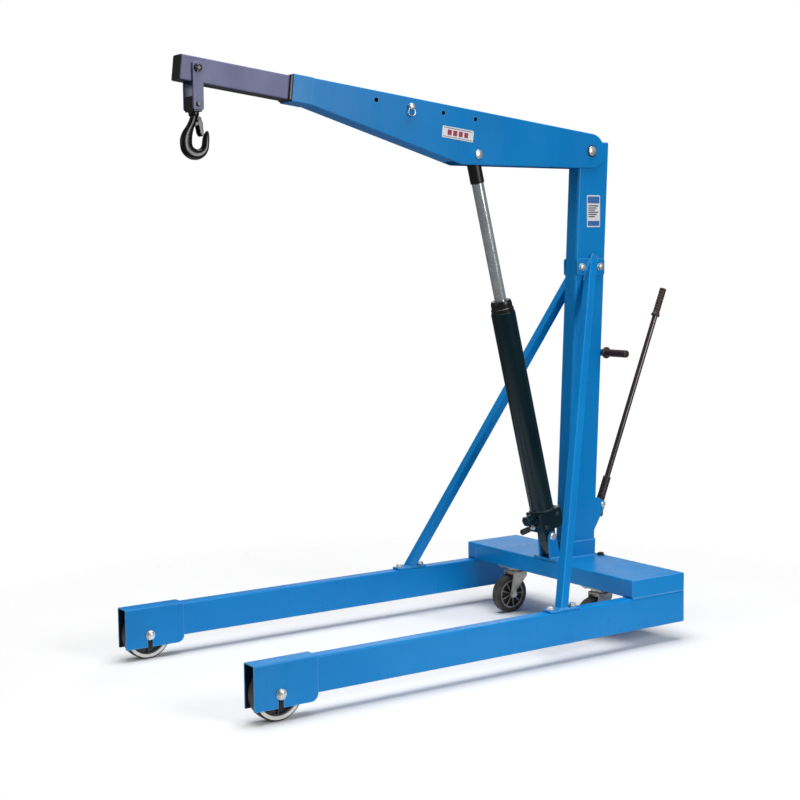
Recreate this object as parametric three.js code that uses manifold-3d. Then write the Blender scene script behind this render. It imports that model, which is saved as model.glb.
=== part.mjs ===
// Engine hoist crane: a two-legged floor crane with a leaning mast, a tapered boom with a sliding
// extension and swivel hook, a hydraulic ram with a hand pump, tip rollers and swivel casters.
// Millimetres. +Z is up, -Y is the front (hook and leg tips), and z = 0 is the floor.
// "Left" is the +X side: the left hand of a person who stands behind the mast and faces the hook.
// Shapes are drawn from the rear face of the legs (y = 0); the whole crane is then shifted by
// CENTRE_Y, so that the model's origin lies on the floor under the middle of its bounding box.

import * as THREE from 'three';
import { mergeVertices } from 'three/addons/utils/BufferGeometryUtils.js';
import Module from 'manifold-3d';

const wasm = await Module();
wasm.setup();

// ---------------------------------------------------------------- driving dimensions
const DEG = Math.PI / 180;
const CENTRE_Y = 609.8;
const GAP = 0.4; // gap kept between neighbours that touch
const RUN = 0.3; // radial clearance of a pin in its hole
const THROUGH = 20; // how far a cutter stands past the faces it cuts
const OVERLAP = 1; // how far two bodies that are joined run into each other
const ACROSS = 80; // half the length of a cutter for a bore across the crane

const LEG = { outerX: 418, width: 44, height: 100, bottom: 57, length: 1372, wall: 4, radius: 6 };
const LEG_X = LEG.outerX - LEG.width / 2;
const LEG_TOP = LEG.bottom + LEG.height;

const BOX = { bottom: LEG_TOP + GAP, top: 213.5, depth: 218, wall: 4, radius: 5, accessRadius: 30 };

const TIP = { axleY: -1458, rollerRadius: 75, rollerWidth: 34, axleRadius: 8, rim: 10, recess: 3 };
const TIP_BOLT = { washer: 15, washerThick: 3, hex: 13.5, hexThick: 9 };
const HOUSING = { front: -1537, rear: -1344, bottom: 38, top: 161, wall: 5.3, corner: 20 };

const CASTER = { x: 215, y: -166, trail: 30, wheelRadius: 62.5, wheelWidth: 36, axleRadius: 5 };
const CASTER_BOLT = { washer: 8, washerThick: 1.5, hex: 8, hexThick: 6 };
const CASTER_PLATE = { halfX: 50, halfY: 42, thick: 5, raceRadius: 31, raceBottom: 141 };
const CASTER_CHEEK = { thick: 4, side: 3.5, front: 26, rear: -30, lip: 20, crown: 6, footRadius: 14 };
const CASTER_TYRE = {
  depth: 14, edge: 4, shoulder: 5, webHalf: 6, hubRadius: 14, hubOut: 2, hubDraft: 1, rimDraft: 2,
};

const MAST = { width: 56, depth: 125, wall: 4, radius: 8, lean: 2.7 * DEG, top: 1571, cap: 5 };
const MAST_REAR = { y: 25, z: 1319 }; // a point of the mast's rear face
const MAST_COLLAR = { wall: 4, height: 52 };

const BRACE = { side: 30, wall: 2.5, radius: 4, plate: 6, topY: -50, topZ: 1160, footY: -482 };
const BRACE_PLATE = { front: -106, rear: 11, halfHeight: 27, ventRadius: 5 };
const BRACE_BOLT = { radius: 6, z: 1167, hex: 11, hexThick: 8, washer: 13, washerThick: 2 };
const FOOT_BOLT = { radius: 6, offset: 42, hex: 11, hexThick: 8, washer: 13, washerThick: 2, reach: 20 };

const PIVOT = { y: -44.3, z: 1540.8, radius: 12 }; // boom pivot
const PIVOT_HEAD = { headRadius: 15.5, headThick: 7.5 };
const RAM_FOOT = { y: -208.5, z: 294.5, radius: 10 }; // lower pin of the ram
const RAM_PIN_HEAD = { headRadius: 13, headThick: 6 };
const RAM_CLEVIS = { earInner: 21, earOuter: 29, earRadius: 16, earFront: 9.5, earRear: 34 };
const RAM_SEAT = { halfWidth: 58, rear: 48, thick: 8 }; // the clevis's plate on the cross beam
const RAM_LEAN = 13.59 * DEG;
const RAM_LENGTH = 1258.6; // from lower pin to upper pin

const BOOM = { rise: 6.58 * DEG, width: 68, cheek: 5, skin: 3.5, topZ: 55.7, front: -1125 };
const COLLAR_REAR = -1061; // the boom's straight mouth ends here
const COLLAR_BOTTOM = -22;
const KINK = { y: -511, z: -115 }; // the boom's deepest point, in front of the ram's head
const RAM_PIN = { y: -454.3, z: -75.6, depth: 12, headRadius: 14, head: 7 };
const FLOOR_START = KINK.y - 35; // the sloped floor begins in front of the ram
const ROOF_END = -60; // the roof stops in front of the mast
const BELOW_BOOM = -200; // a height below the whole boom
const EXTENSION = { width: 50, height: 70, wall: 4, radius: 5, front: -1471, rear: -575 };
const LOCK = { z: 28.4, first: -477, pitch: 122, holes: 4, pinHole: 2, radius: 7 };
const LOCK_HEAD = { radius: 9.5, length: 13, tail: 5 };
const RING = { x: 8, hole: -4.5, radius: 12, wire: 1.5 }; // x is its distance from the boom's side
const MOUTH_GUIDE = { halfWidth: 32, thick: 8, edge: 2, boreHalf: 25.5 };

const HANGER = {
  y: -1457, z: 1725, plate: 6, radius: 6, halfWidth: 16, above: 16, below: 113, hookDrop: 97,
};
const HANGER_BOLT = { radius: 7, washer: 12.5, washerThick: 2, hex: 11.5, hexThick: 7 };
const CROSSHEAD = {
  halfDepth: 15, bottom: -20, top: 22, pinRadius: 7, pinOut: 6, seat: 6, boreRadius: 13.5,
};
const HOOK_SHANK = {
  radius: 8, bottom: 78, top: 119, collarRadius: 15, collarBottom: 70, collarTop: 79.5,
};
const HOOK_NUT = { radius: 12.5, top: 19 };
const HOOK_DROP = 100; // from the crosshead to the hook's own origin
const HOOK = { halfThick: 11, outerRadius: 43, outerZ: -7, bowlRadius: 16, bowlY: 8, bowlZ: -4 };
const LATCH = { y: 11, z: 61, length: 46, thick: 2, side: 0.6, pinRadius: 2.2, earRadius: 5.5 };
const LATCH_WEB = { front: 8, top: -14, foot: 9.8, rear: 10, footRear: 12 };

const LEVER_PIVOT = { y: 18, z: 376.5, radius: 6 };
const LEVER_PIN_HEAD = { headRadius: 9, headThick: 4 };
const LEVER_LEAN = 22.15 * DEG;
const PUSH_BAR = { y: 17, z: 884, radius: 9, halfLength: 128, saddleHalf: 18, saddleGap: 1.2 };
const PUSH_GRIP = { radius: 12.2, flangeRadius: 19, start: 34, flange: 5, neck: 3, cap: 7 };

// ---------------------------------------------------------------- materials
const finish = (color, roughness, metalness) =>
  new THREE.MeshStandardMaterial({ color, roughness, metalness });

const bluePaint = finish(0x0878bf, 0.42, 0.1);
const zinc = finish(0xc9ccc8, 0.35, 0.85);
const chrome = finish(0xc4c8ca, 0.14, 1.0);
const blackGreenPaint = finish(0x0d2426, 0.3, 0.2);
const blackSteel = finish(0x1c1b1e, 0.4, 0.4);
const darkGreyPaint = finish(0x49454f, 0.5, 0.2);
const forgedBlack = finish(0x121214, 0.25, 0.5);
const rubber = finish(0x2a211e, 0.8, 0);
const tyreGrey = finish(0x3c3a3c, 0.75, 0);
const paleNylon = finish(0xdedcd4, 0.5, 0);

// ---------------------------------------------------------------- solids
const SLIM = 9; // bars thinner than this radius have fewer sides
const sidesOf = (radius) => (radius < SLIM ? 12 : 16);
const TURNED_SIDES = 24;
const SMALL_TURNED_SIDES = 18;
const WELD = 1e-4; // corners nearer than this become one
const LEAST_RADIUS = 1; // of a tube's inner corner

/** Turns a closed geometry into a solid that can be joined and cut. */
function toSolid(geometry) {
  const bare = geometry.clone();
  Object.keys(bare.attributes)
    .filter((name) => name !== 'position')
    .forEach((name) => bare.deleteAttribute(name));
  const merged = mergeVertices(bare, WELD);
  const corners = [];
  for (let i = 0; i < merged.index.count; i += 3) {
    const [a, b, c] = [0, 1, 2].map((k) => merged.index.getX(i + k));
    if (a !== b && b !== c && c !== a) corners.push(a, b, c);
  }
  const vertProperties = new Float32Array(merged.attributes.position.array);
  const triVerts = new Uint32Array(corners);
  return new wasm.Manifold(new wasm.Mesh({ numProp: 3, vertProperties, triVerts }));
}

/** Turns a solid back into a geometry. */
function toGeometry(solid) {
  const { vertProperties, triVerts } = solid.getMesh();
  const geometry = new THREE.BufferGeometry();
  geometry.setAttribute('position', new THREE.BufferAttribute(vertProperties, 3));
  geometry.setIndex(new THREE.BufferAttribute(triVerts, 1));
  geometry.computeVertexNormals();
  return geometry;
}

const join = (first, ...rest) => rest.reduce((whole, piece) => whole.add(piece), first);
const cut = (first, ...tools) => tools.reduce((whole, tool) => whole.subtract(tool), first);

/** A solid box between two values on each axis. */
function block([x0, x1], [y0, y1], [z0, z1]) {
  const geometry = new THREE.BoxGeometry(x1 - x0, y1 - y0, z1 - z0);
  geometry.translate((x0 + x1) / 2, (y0 + y1) / 2, (z0 + z1) / 2);
  return toSolid(geometry);
}

/** A round bar between two points; six sides make a hexagon. */
function rod(radius, from, to, sides = sidesOf(radius)) {
  const start = new THREE.Vector3(...from);
  const end = new THREE.Vector3(...to);
  const axis = end.clone().sub(start);
  const geometry = new THREE.CylinderGeometry(radius, radius, axis.length(), sides);
  const up = new THREE.Vector3(0, 1, 0);
  geometry.applyQuaternion(new THREE.Quaternion().setFromUnitVectors(up, axis.normalize()));
  const middle = start.add(end).multiplyScalar(0.5);
  geometry.translate(middle.x, middle.y, middle.z);
  return toSolid(geometry);
}

/** A round bar along X at one place (y, z). */
const rodX = (radius, x0, x1, y, z, sides) => rod(radius, [x0, y, z], [x1, y, z], sides);

/** A round bar along Z at one place (x, y). */
const rodZ = (radius, z0, z1, x, y, sides) => rod(radius, [x, y, z0], [x, y, z1], sides);

/** A cutter for a running bore along X, at (y, z). */
const boreX = (radius, y, z) => rodX(radius + RUN, -ACROSS, ACROSS, y, z);

/** An outline through points. */
const outline = (points) => new THREE.Shape(points.map(([a, b]) => new THREE.Vector2(a, b)));

/** An outline drawn in (y, z), extruded along X. */
function plateX(shape, x0, x1, curveSegments = 6) {
  const options = { depth: x1 - x0, bevelEnabled: false, curveSegments };
  const geometry = new THREE.ExtrudeGeometry(shape, options);
  const toYZ = new THREE.Matrix4().makeBasis(
    new THREE.Vector3(0, 1, 0),
    new THREE.Vector3(0, 0, 1),
    new THREE.Vector3(1, 0, 0),
  );
  geometry.applyMatrix4(toYZ);
  geometry.translate(x0, 0, 0);
  return toSolid(geometry);
}

/** A rectangle with round corners, centred on the origin. */
function roundedRectangle(width, height, radius) {
  const x = width / 2 - radius;
  const y = height / 2 - radius;
  const shape = new THREE.Shape();
  shape.absarc(x, -y, radius, -Math.PI / 2, 0);
  shape.absarc(x, y, radius, 0, Math.PI / 2);
  shape.absarc(-x, y, radius, Math.PI / 2, Math.PI);
  shape.absarc(-x, -y, radius, Math.PI, Math.PI * 1.5);
  shape.closePath();
  return shape;
}

/** A rectangular tube along +Z from 0 to length, moved by a matrix. */
function boxTube({ width, depth, wall, radius, length }, matrix) {
  const shape = roundedRectangle(width, depth, radius);
  const innerRadius = Math.max(radius - wall, LEAST_RADIUS);
  shape.holes.push(roundedRectangle(width - 2 * wall, depth - 2 * wall, innerRadius));
  const options = { depth: length, bevelEnabled: false, curveSegments: 2 };
  const geometry = new THREE.ExtrudeGeometry(shape, options);
  geometry.applyMatrix4(matrix);
  return toSolid(geometry);
}

/** A solid of revolution about X through the origin; the profile is a list of (radius, x). */
function turnedX(profile, sides = TURNED_SIDES) {
  const points = profile.map(([radius, x]) => new THREE.Vector2(radius, x));
  points.push(points[0].clone());
  const geometry = new THREE.LatheGeometry(points, sides);
  geometry.rotateZ(-Math.PI / 2);
  return toSolid(geometry);
}

/** A solid of revolution about Z; the profile is a list of (radius, z). */
function turnedZ(profile, sides = TURNED_SIDES) {
  const points = profile.map(([radius, z]) => new THREE.Vector2(radius, z));
  points.push(points[0].clone());
  const geometry = new THREE.LatheGeometry(points, sides);
  geometry.rotateX(Math.PI / 2);
  return toSolid(geometry);
}

/** Adds a named piece to a group. */
function part(group, name, solid, material) {
  const mesh = new THREE.Mesh(toGeometry(solid), material);
  mesh.name = name;
  group.add(mesh);
  return mesh;
}

/** A group at a place in its parent. */
function groupAt(parent, y, z, turnX = 0, x = 0) {
  const group = new THREE.Group();
  group.position.set(x, y, z);
  group.rotation.x = turnX;
  parent.add(group);
  return group;
}

const crane = new THREE.Group();
crane.position.y = CENTRE_Y;

const SIDES = [
  ['left', 1],
  ['right', -1],
];

// ---------------------------------------------------------------- chassis
/** One leg: a rectangular tube, closed at its rear end and open at its tip. */
function leg(side) {
  const alongMinusY = new THREE.Matrix4().makeBasis(
    new THREE.Vector3(1, 0, 0),
    new THREE.Vector3(0, 0, 1),
    new THREE.Vector3(0, -1, 0),
  );
  alongMinusY.setPosition(side * LEG_X, 0, LEG.bottom + LEG.height / 2);
  const tube = boxTube({ ...LEG, depth: LEG.height }, alongMinusY);
  const inner = LEG.width / 2 - LEG.wall + OVERLAP;
  const cap = block(
    [side * LEG_X - inner, side * LEG_X + inner],
    [-LEG.wall, 0],
    [LEG.bottom + LEG.wall - OVERLAP, LEG_TOP - LEG.wall + OVERLAP],
  );
  return cut(join(tube, cap), ...footBoltPlaces().map((y) =>
    rodZ(FOOT_BOLT.radius + RUN, LEG_TOP - LEG.wall * 2, LEG_TOP + THROUGH, side * LEG_X, y)));
}

/** The cross beam: a flat box across both legs, with an access hole in its floor. */
function baseBox() {
  const middleY = -BOX.depth / 2;
  const middleZ = (BOX.bottom + BOX.top) / 2;
  const profile = roundedRectangle(BOX.depth, BOX.top - BOX.bottom, BOX.radius);
  const innerHeight = BOX.top - BOX.bottom - 2 * BOX.wall;
  const inner = roundedRectangle(BOX.depth - 2 * BOX.wall, innerHeight, BOX.radius / 2);
  const shell = cut(
    plateX(profile, -LEG.outerX, LEG.outerX, 3),
    plateX(inner, -LEG.outerX + BOX.wall, LEG.outerX - BOX.wall, 3),
    rodZ(BOX.accessRadius, -BOX.top, 0, 0, 0),
  );
  return { solid: shell, y: middleY, z: middleZ };
}

/** A leg-tip housing: an open channel over the leg's end, with a slot down from each axle hole. */
function tipHousing() {
  const { front, rear, bottom, top, wall, corner } = HOUSING;
  const half = LEG.width / 2 + GAP + wall;
  const side = new THREE.Shape();
  side.moveTo(front, bottom);
  side.lineTo(rear - corner, bottom);
  side.absarc(rear - corner, bottom + corner, corner, -Math.PI / 2, 0);
  side.lineTo(rear, top);
  side.lineTo(front, top);
  side.closePath();
  const slotHalf = TIP.axleRadius + RUN;
  const hollow = block(
    [-half + wall, half - wall],
    [front - THROUGH, rear + THROUGH],
    [bottom - THROUGH, LEG_TOP + GAP],
  );
  const slot = block(
    [-half - THROUGH, half + THROUGH],
    [TIP.axleY - slotHalf, TIP.axleY + slotHalf],
    [bottom - THROUGH, TIP.rollerRadius],
  );
  const hole = rodX(slotHalf, -half - THROUGH, half + THROUGH, TIP.axleY, TIP.rollerRadius);
  return cut(plateX(side, -half, half, 6), hollow, slot, hole);
}

/** An axle bolt with a washer and a hexagon at each end, along X through the origin. */
function axleBolt({ radius, grip, washer, washerThick, hex, hexThick }) {
  const outer = grip + washerThick + hexThick;
  return join(
    rodX(radius, -outer, outer, 0, 0),
    rodX(washer, grip, grip + washerThick, 0, 0),
    rodX(washer, -grip - washerThick, -grip, 0, 0),
    rodX(hex, grip + washerThick - OVERLAP, outer, 0, 0, 6),
    rodX(hex, -outer, -grip - washerThick + OVERLAP, 0, 0, 6),
  );
}

/** A tip roller: a wide solid roller with a shallow recess in each face. */
function tipRoller() {
  const { rollerRadius: radius, recess, rim } = TIP;
  const half = TIP.rollerWidth / 2;
  const bore = TIP.axleRadius + RUN;
  const floor = half - recess;
  return turnedX([
    [bore, -floor],
    [radius - rim - recess, -floor],
    [radius - rim, -half],
    [radius - recess, -half],
    [radius, -floor],
    [radius, floor],
    [radius - recess, half],
    [radius - rim, half],
    [radius - rim - recess, floor],
    [bore, floor],
  ]);
}

// ---------------------------------------------------------------- casters
const FORK_TOP = CASTER_PLATE.raceBottom - GAP;
const FORK_INNER = CASTER.wheelWidth / 2 + CASTER_CHEEK.side;
const FORK_OUTER = FORK_INNER + CASTER_CHEEK.thick;

/** The fixed plate of a caster, with its round swivel race below. */
function casterPlate() {
  const { halfX, halfY, thick, raceRadius, raceBottom } = CASTER_PLATE;
  const plateBottom = LEG_TOP - thick;
  return join(
    block([-halfX, halfX], [-halfY, halfY], [plateBottom, LEG_TOP]),
    rodZ(raceRadius, raceBottom, plateBottom + OVERLAP, 0, 0),
  );
}

/** The turning fork of a caster: a crown and two tapered cheeks that trail to the axle. */
function casterFork() {
  const { front, rear, lip, crown, footRadius } = CASTER_CHEEK;
  const { trail, wheelRadius: axleZ } = CASTER;
  const cheek = new THREE.Shape();
  cheek.moveTo(front, FORK_TOP);
  cheek.lineTo(rear, FORK_TOP);
  cheek.lineTo(-trail - footRadius, axleZ);
  cheek.absarc(-trail, axleZ, footRadius, Math.PI, Math.PI * 2);
  cheek.lineTo(front, FORK_TOP - lip);
  cheek.closePath();
  const body = plateX(cheek, -FORK_OUTER, FORK_OUTER, 6);
  const wheelY = [-trail - footRadius - THROUGH, front + THROUGH];
  const wheelSpace = block([-FORK_INNER, FORK_INNER], wheelY, [0, FORK_TOP - crown]);
  return cut(body, wheelSpace, boreX(CASTER.axleRadius, -trail, axleZ));
}

/** A caster wheel: a tyre on a thin web and a hub. */
function casterWheel() {
  const { depth, edge, shoulder, webHalf, hubRadius, hubOut, hubDraft, rimDraft } = CASTER_TYRE;
  const { wheelRadius: radius, axleRadius, wheelWidth } = CASTER;
  const half = wheelWidth / 2;
  const bore = axleRadius + RUN;
  const side = [
    [bore, half + hubOut],
    [hubRadius, half + hubOut],
    [hubRadius + hubDraft, webHalf],
    [radius - depth - rimDraft, webHalf],
    [radius - depth, half],
    [radius - edge, half],
    [radius, half - shoulder],
  ];
  const farSide = side.map(([r, x]) => [r, -x]);
  return turnedX([...farSide, ...side.toReversed()]);
}

// ---------------------------------------------------------------- mast
/** y of the mast's rear face at a height. */
const mastRear = (z) => MAST_REAR.y + (z - MAST_REAR.z) * Math.tan(MAST.lean);

/** A rectangular tube that follows the mast's lean, trimmed level between two heights. */
function leaningTube(width, depth, wall, radius, z0, z1) {
  const margin = width;
  const middle = mastRear(z0 - margin) - MAST.depth / 2 / Math.cos(MAST.lean);
  const matrix = new THREE.Matrix4().makeRotationX(-MAST.lean);
  matrix.setPosition(0, middle, z0 - margin);
  const tube = boxTube({ width, depth, wall, radius, length: z1 - z0 + 3 * margin }, matrix);
  const span = depth * 2;
  return tube.intersect(block([-width, width], [middle - span, middle + span], [z0, z1]));
}

const BRACE_BOLTS = [
  ['front', -87],
  ['rear', -8],
];
const PUSH_ROD = { radius: 6, z: 342.5, front: -155.5, rear: 7.5 };
const PUSH_ROD_PLAY = 1; // room around the push rod in the parts it passes

/** A cutter for the push rod's way through the mast and the lever's bracket. */
const pushRodHole = () =>
  rod(PUSH_ROD.radius + PUSH_ROD_PLAY, [0, -MAST.depth * 2, PUSH_ROD.z], [0, MAST.depth, PUSH_ROD.z]);

/** The mast tube with its top cap and the holes for pivot, brace bolts and push rod. */
function mast() {
  const foot = BOX.top + GAP;
  const tube = leaningTube(MAST.width, MAST.depth, MAST.wall, MAST.radius, foot, MAST.top);
  const rear = mastRear(MAST.top);
  const inset = MAST.wall / 2;
  const half = MAST.width / 2 - inset;
  const depth = [rear - MAST.depth + inset, rear - inset];
  const cap = block([-half, half], depth, [MAST.top - MAST.cap, MAST.top]);
  return cut(
    join(tube, cap),
    boreX(PIVOT.radius, PIVOT.y, PIVOT.z),
    ...BRACE_BOLTS.map(([, y]) => boreX(BRACE_BOLT.radius, y, BRACE_BOLT.z)),
    pushRodHole(),
  );
}

/** The sleeve around the mast's foot. */
function mastFootCollar() {
  const { wall, height } = MAST_COLLAR;
  const around = 2 * (GAP + wall);
  const foot = BOX.top + GAP;
  const size = [MAST.width + around, MAST.depth + around, wall, MAST.radius + wall];
  return leaningTube(...size, foot, foot + height);
}

// ---------------------------------------------------------------- braces
const FOOT_PLATE = { bottom: LEG_TOP + GAP, thick: 6, halfLength: 58, halfWidth: 20 };
const FOOT_TOP = FOOT_PLATE.bottom + FOOT_PLATE.thick;

/** y of the two bolts in each brace's foot plate. */
function footBoltPlaces() {
  return [BRACE.footY - FOOT_BOLT.offset, BRACE.footY + FOOT_BOLT.offset];
}

/** A brace: a square tube from the mast's side to the leg, with a welded plate at each end. */
function brace(side) {
  const plateInner = MAST.width / 2 + GAP;
  const plateOuter = plateInner + BRACE.plate;
  const top = new THREE.Vector3(side * plateOuter, BRACE.topY, BRACE.topZ);
  const foot = new THREE.Vector3(side * LEG_X, BRACE.footY, FOOT_TOP);
  const along = foot.clone().sub(top);
  const overrun = 150;
  const length = along.length() + 2 * overrun;
  along.normalize();
  const acrossX = new THREE.Vector3(1, 0, 0).addScaledVector(along, -along.x).normalize();
  const acrossY = along.clone().cross(acrossX);
  const matrix = new THREE.Matrix4().makeBasis(acrossX, acrossY, along);
  matrix.setPosition(top.addScaledVector(along, -overrun));
  const tube = boxTube({ ...BRACE, width: BRACE.side, depth: BRACE.side, length }, matrix);
  const range = (a, b) => (side > 0 ? [a, b] : [-b, -a]);
  const room = block(
    range(plateOuter - OVERLAP, LEG.outerX + BRACE.side * 2),
    [BRACE.footY - overrun, BRACE.topY + overrun],
    [FOOT_TOP - OVERLAP, BRACE.topZ + overrun],
  );
  const { front, rear, halfHeight, ventRadius } = BRACE_PLATE;
  const topPlate = block(
    range(plateInner, plateOuter),
    [front, rear],
    [BRACE_BOLT.z - halfHeight, BRACE_BOLT.z + halfHeight],
  );
  const footPlate = block(
    [side * LEG_X - FOOT_PLATE.halfWidth, side * LEG_X + FOOT_PLATE.halfWidth],
    [BRACE.footY - FOOT_PLATE.halfLength, BRACE.footY + FOOT_PLATE.halfLength],
    [FOOT_PLATE.bottom, FOOT_TOP],
  );
  const ventInPlate = rodX(ventRadius, ...range(0, plateOuter + OVERLAP), BRACE.topY, BRACE.topZ);
  return cut(
    join(tube.intersect(room), topPlate, footPlate),
    ventInPlate,
    ...BRACE_BOLTS.map(([, y]) => boreX(BRACE_BOLT.radius, y, BRACE_BOLT.z)),
    ...footBoltPlaces().map((y) =>
      rodZ(FOOT_BOLT.radius + RUN, LEG.bottom, FOOT_TOP + THROUGH, side * LEG_X, y)),
  );
}

/** A bolt through both brace plates and the mast. */
function braceBolt() {
  const grip = MAST.width / 2 + 2 * GAP + BRACE.plate;
  return axleBolt({ ...BRACE_BOLT, grip });
}

/** A bolt down through a brace's foot plate into the leg. */
function footBolt() {
  const { radius, washer, washerThick, hex, hexThick, reach } = FOOT_BOLT;
  const seat = FOOT_TOP + GAP;
  return join(
    rodZ(radius, LEG_TOP - reach, seat + OVERLAP, 0, 0),
    rodZ(washer, seat, seat + washerThick, 0, 0),
    rodZ(hex, seat + OVERLAP, seat + washerThick + hexThick, 0, 0, 6),
  );
}

// ---------------------------------------------------------------- brackets on the chassis and mast
/** The clevis on the cross beam that holds the foot of the ram: two ears on a seat plate. */
function ramBracket() {
  const { y, z, radius } = RAM_FOOT;
  const { earInner, earOuter, earRadius, earFront, earRear } = RAM_CLEVIS;
  const { halfWidth, rear, thick } = RAM_SEAT;
  const seatBottom = BOX.top + GAP;
  const seatTop = seatBottom + thick;
  const ear = new THREE.Shape();
  ear.moveTo(y - earFront, seatTop - OVERLAP);
  ear.lineTo(y - earRadius, z);
  ear.absarc(y, z, earRadius, Math.PI, 0, true);
  ear.lineTo(y + earRear, seatTop - OVERLAP);
  ear.closePath();
  return cut(
    join(
      block([-halfWidth, halfWidth], [-BOX.depth, y + rear], [seatBottom, seatTop]),
      plateX(ear, earInner, earOuter),
      plateX(ear, -earOuter, -earInner),
    ),
    boreX(radius, y, z),
  );
}

/** A round pin with a wider head at each end, along X through the origin. */
function headedPin({ radius, grip, headRadius, headThick }) {
  return join(
    rodX(radius, -grip - OVERLAP, grip + OVERLAP, 0, 0),
    rodX(headRadius, grip, grip + headThick, 0, 0),
    rodX(headRadius, -grip - headThick, -grip, 0, 0),
  );
}

const LEVER_BRACKET = { outer: 18, inner: 13, top: 402, bottom: 286, tipRadius: 13, lip: 14, web: 4 };
const LEVER_BRACKET_TIP = [-20 * DEG, 80 * DEG]; // where the round of its tip starts and ends

/** The bracket behind the mast that holds the lever: two cheeks on a web. */
function leverBracket() {
  const { outer, inner, top, bottom, tipRadius, lip, web: thick } = LEVER_BRACKET;
  const { y, z, radius } = LEVER_PIVOT;
  const face = (height) => mastRear(height) + GAP;
  const cheek = new THREE.Shape();
  cheek.moveTo(face(bottom), bottom);
  cheek.absarc(y, z, tipRadius, ...LEVER_BRACKET_TIP);
  cheek.lineTo(face(top) + lip, top);
  cheek.lineTo(face(top), top);
  cheek.closePath();
  const web = outline([
    [face(bottom), bottom],
    [face(bottom) + thick, bottom],
    [face(top) + thick, top],
    [face(top), top],
  ]);
  return cut(
    join(
      plateX(cheek, inner, outer),
      plateX(cheek, -outer, -inner),
      plateX(web, -inner - OVERLAP, inner + OVERLAP),
    ),
    boreX(radius, y, z),
    pushRodHole(),
  );
}

// ---------------------------------------------------------------- push bar
/** The bar across the mast's rear, with the saddle that fixes it. */
function pushBar() {
  const { y, z, radius, halfLength, saddleHalf, saddleGap } = PUSH_BAR;
  const saddleFront = mastRear(z) + saddleGap;
  return join(
    rodX(radius, -halfLength, halfLength, y, z),
    block([-saddleHalf, saddleHalf], [saddleFront, y], [z - radius, z + radius]),
  );
}

/** A rubber grip with a flange at its inner end and a closed outer end. */
function pushGrip(side) {
  const { radius, flangeRadius, start, flange, neck, cap } = PUSH_GRIP;
  const bore = PUSH_BAR.radius + RUN;
  const end = PUSH_BAR.halfLength + GAP;
  const profile = [
    [bore, start],
    [flangeRadius, start],
    [flangeRadius, start + flange],
    [radius, start + flange + neck],
    [radius, end + cap - neck],
    [PUSH_BAR.radius, end + cap],
    [0, end + cap],
    [0, end],
    [bore, end],
  ];
  const faced = profile.map(([r, x]) => [r, side * x]);
  return turnedX(side > 0 ? faced : faced.toReversed(), SMALL_TURNED_SIDES);
}

// ---------------------------------------------------------------- boom
const LOCK_HOLES = Array.from({ length: LOCK.holes }, (_, i) => LOCK.first - i * LOCK.pitch);
const LOCK_PIN_Y = LOCK_HOLES[LOCK.pinHole];

/** The boom in its own frame: the pivot is the origin, and the roof is level. */
function boom() {
  const half = BOOM.width / 2;
  const inner = half - BOOM.cheek;
  const shape = new THREE.Shape();
  shape.moveTo(BOOM.front, BOOM.topZ);
  shape.lineTo(BOOM.front, COLLAR_BOTTOM);
  shape.lineTo(COLLAR_REAR, COLLAR_BOTTOM);
  shape.lineTo(KINK.y, KINK.z);
  shape.absarc(0, 0, BOOM.topZ, -Math.PI / 2 + BOOM.rise, Math.PI / 2);
  shape.closePath();
  const floorSlope = (COLLAR_BOTTOM - KINK.z) / (COLLAR_REAR - KINK.y);
  const floorZ = KINK.z + (FLOOR_START - KINK.y) * floorSlope + BOOM.skin;
  const inside = outline([
    [ROOF_END, BOOM.topZ - BOOM.skin],
    [BOOM.front - THROUGH, BOOM.topZ - BOOM.skin],
    [BOOM.front - THROUGH, COLLAR_BOTTOM + BOOM.skin],
    [COLLAR_REAR, COLLAR_BOTTOM + BOOM.skin],
    [FLOOR_START, floorZ],
    [FLOOR_START, BELOW_BOOM],
    [BOOM.topZ + THROUGH, BELOW_BOOM],
    [BOOM.topZ + THROUGH, BOOM.topZ + THROUGH],
    [ROOF_END, BOOM.topZ + THROUGH],
  ]);
  return cut(
    plateX(shape, -half, half, 10),
    plateX(inside, -inner, inner),
    boreX(PIVOT.radius, 0, 0),
    boreX(RAM_FOOT.radius, RAM_PIN.y, RAM_PIN.z),
    ...LOCK_HOLES.map((y) => boreX(LOCK.radius, y, LOCK.z)),
  );
}

/** The black guide ring at the boom's mouth. */
function boomMouthGuide() {
  const { halfWidth, thick, edge, boreHalf } = MOUTH_GUIDE;
  const rear = BOOM.front - GAP;
  const bore = [COLLAR_BOTTOM + BOOM.skin, BOOM.topZ - BOOM.skin];
  return cut(
    block([-halfWidth, halfWidth], [rear - thick, rear], [COLLAR_BOTTOM + edge, BOOM.topZ - edge]),
    block([-boreHalf, boreHalf], [rear - THROUGH, rear + THROUGH], bore),
  );
}

/** A short pin in one cheek of the boom, where the ram's head is held. */
function ramUpperPin(side) {
  const half = BOOM.width / 2;
  return join(
    rodX(RAM_FOOT.radius, side * (half - RAM_PIN.depth), side * (half + RAM_PIN.head / 2), 0, 0),
    rodX(RAM_PIN.headRadius, side * (half + GAP), side * (half + RAM_PIN.head), 0, 0),
  );
}

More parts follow.
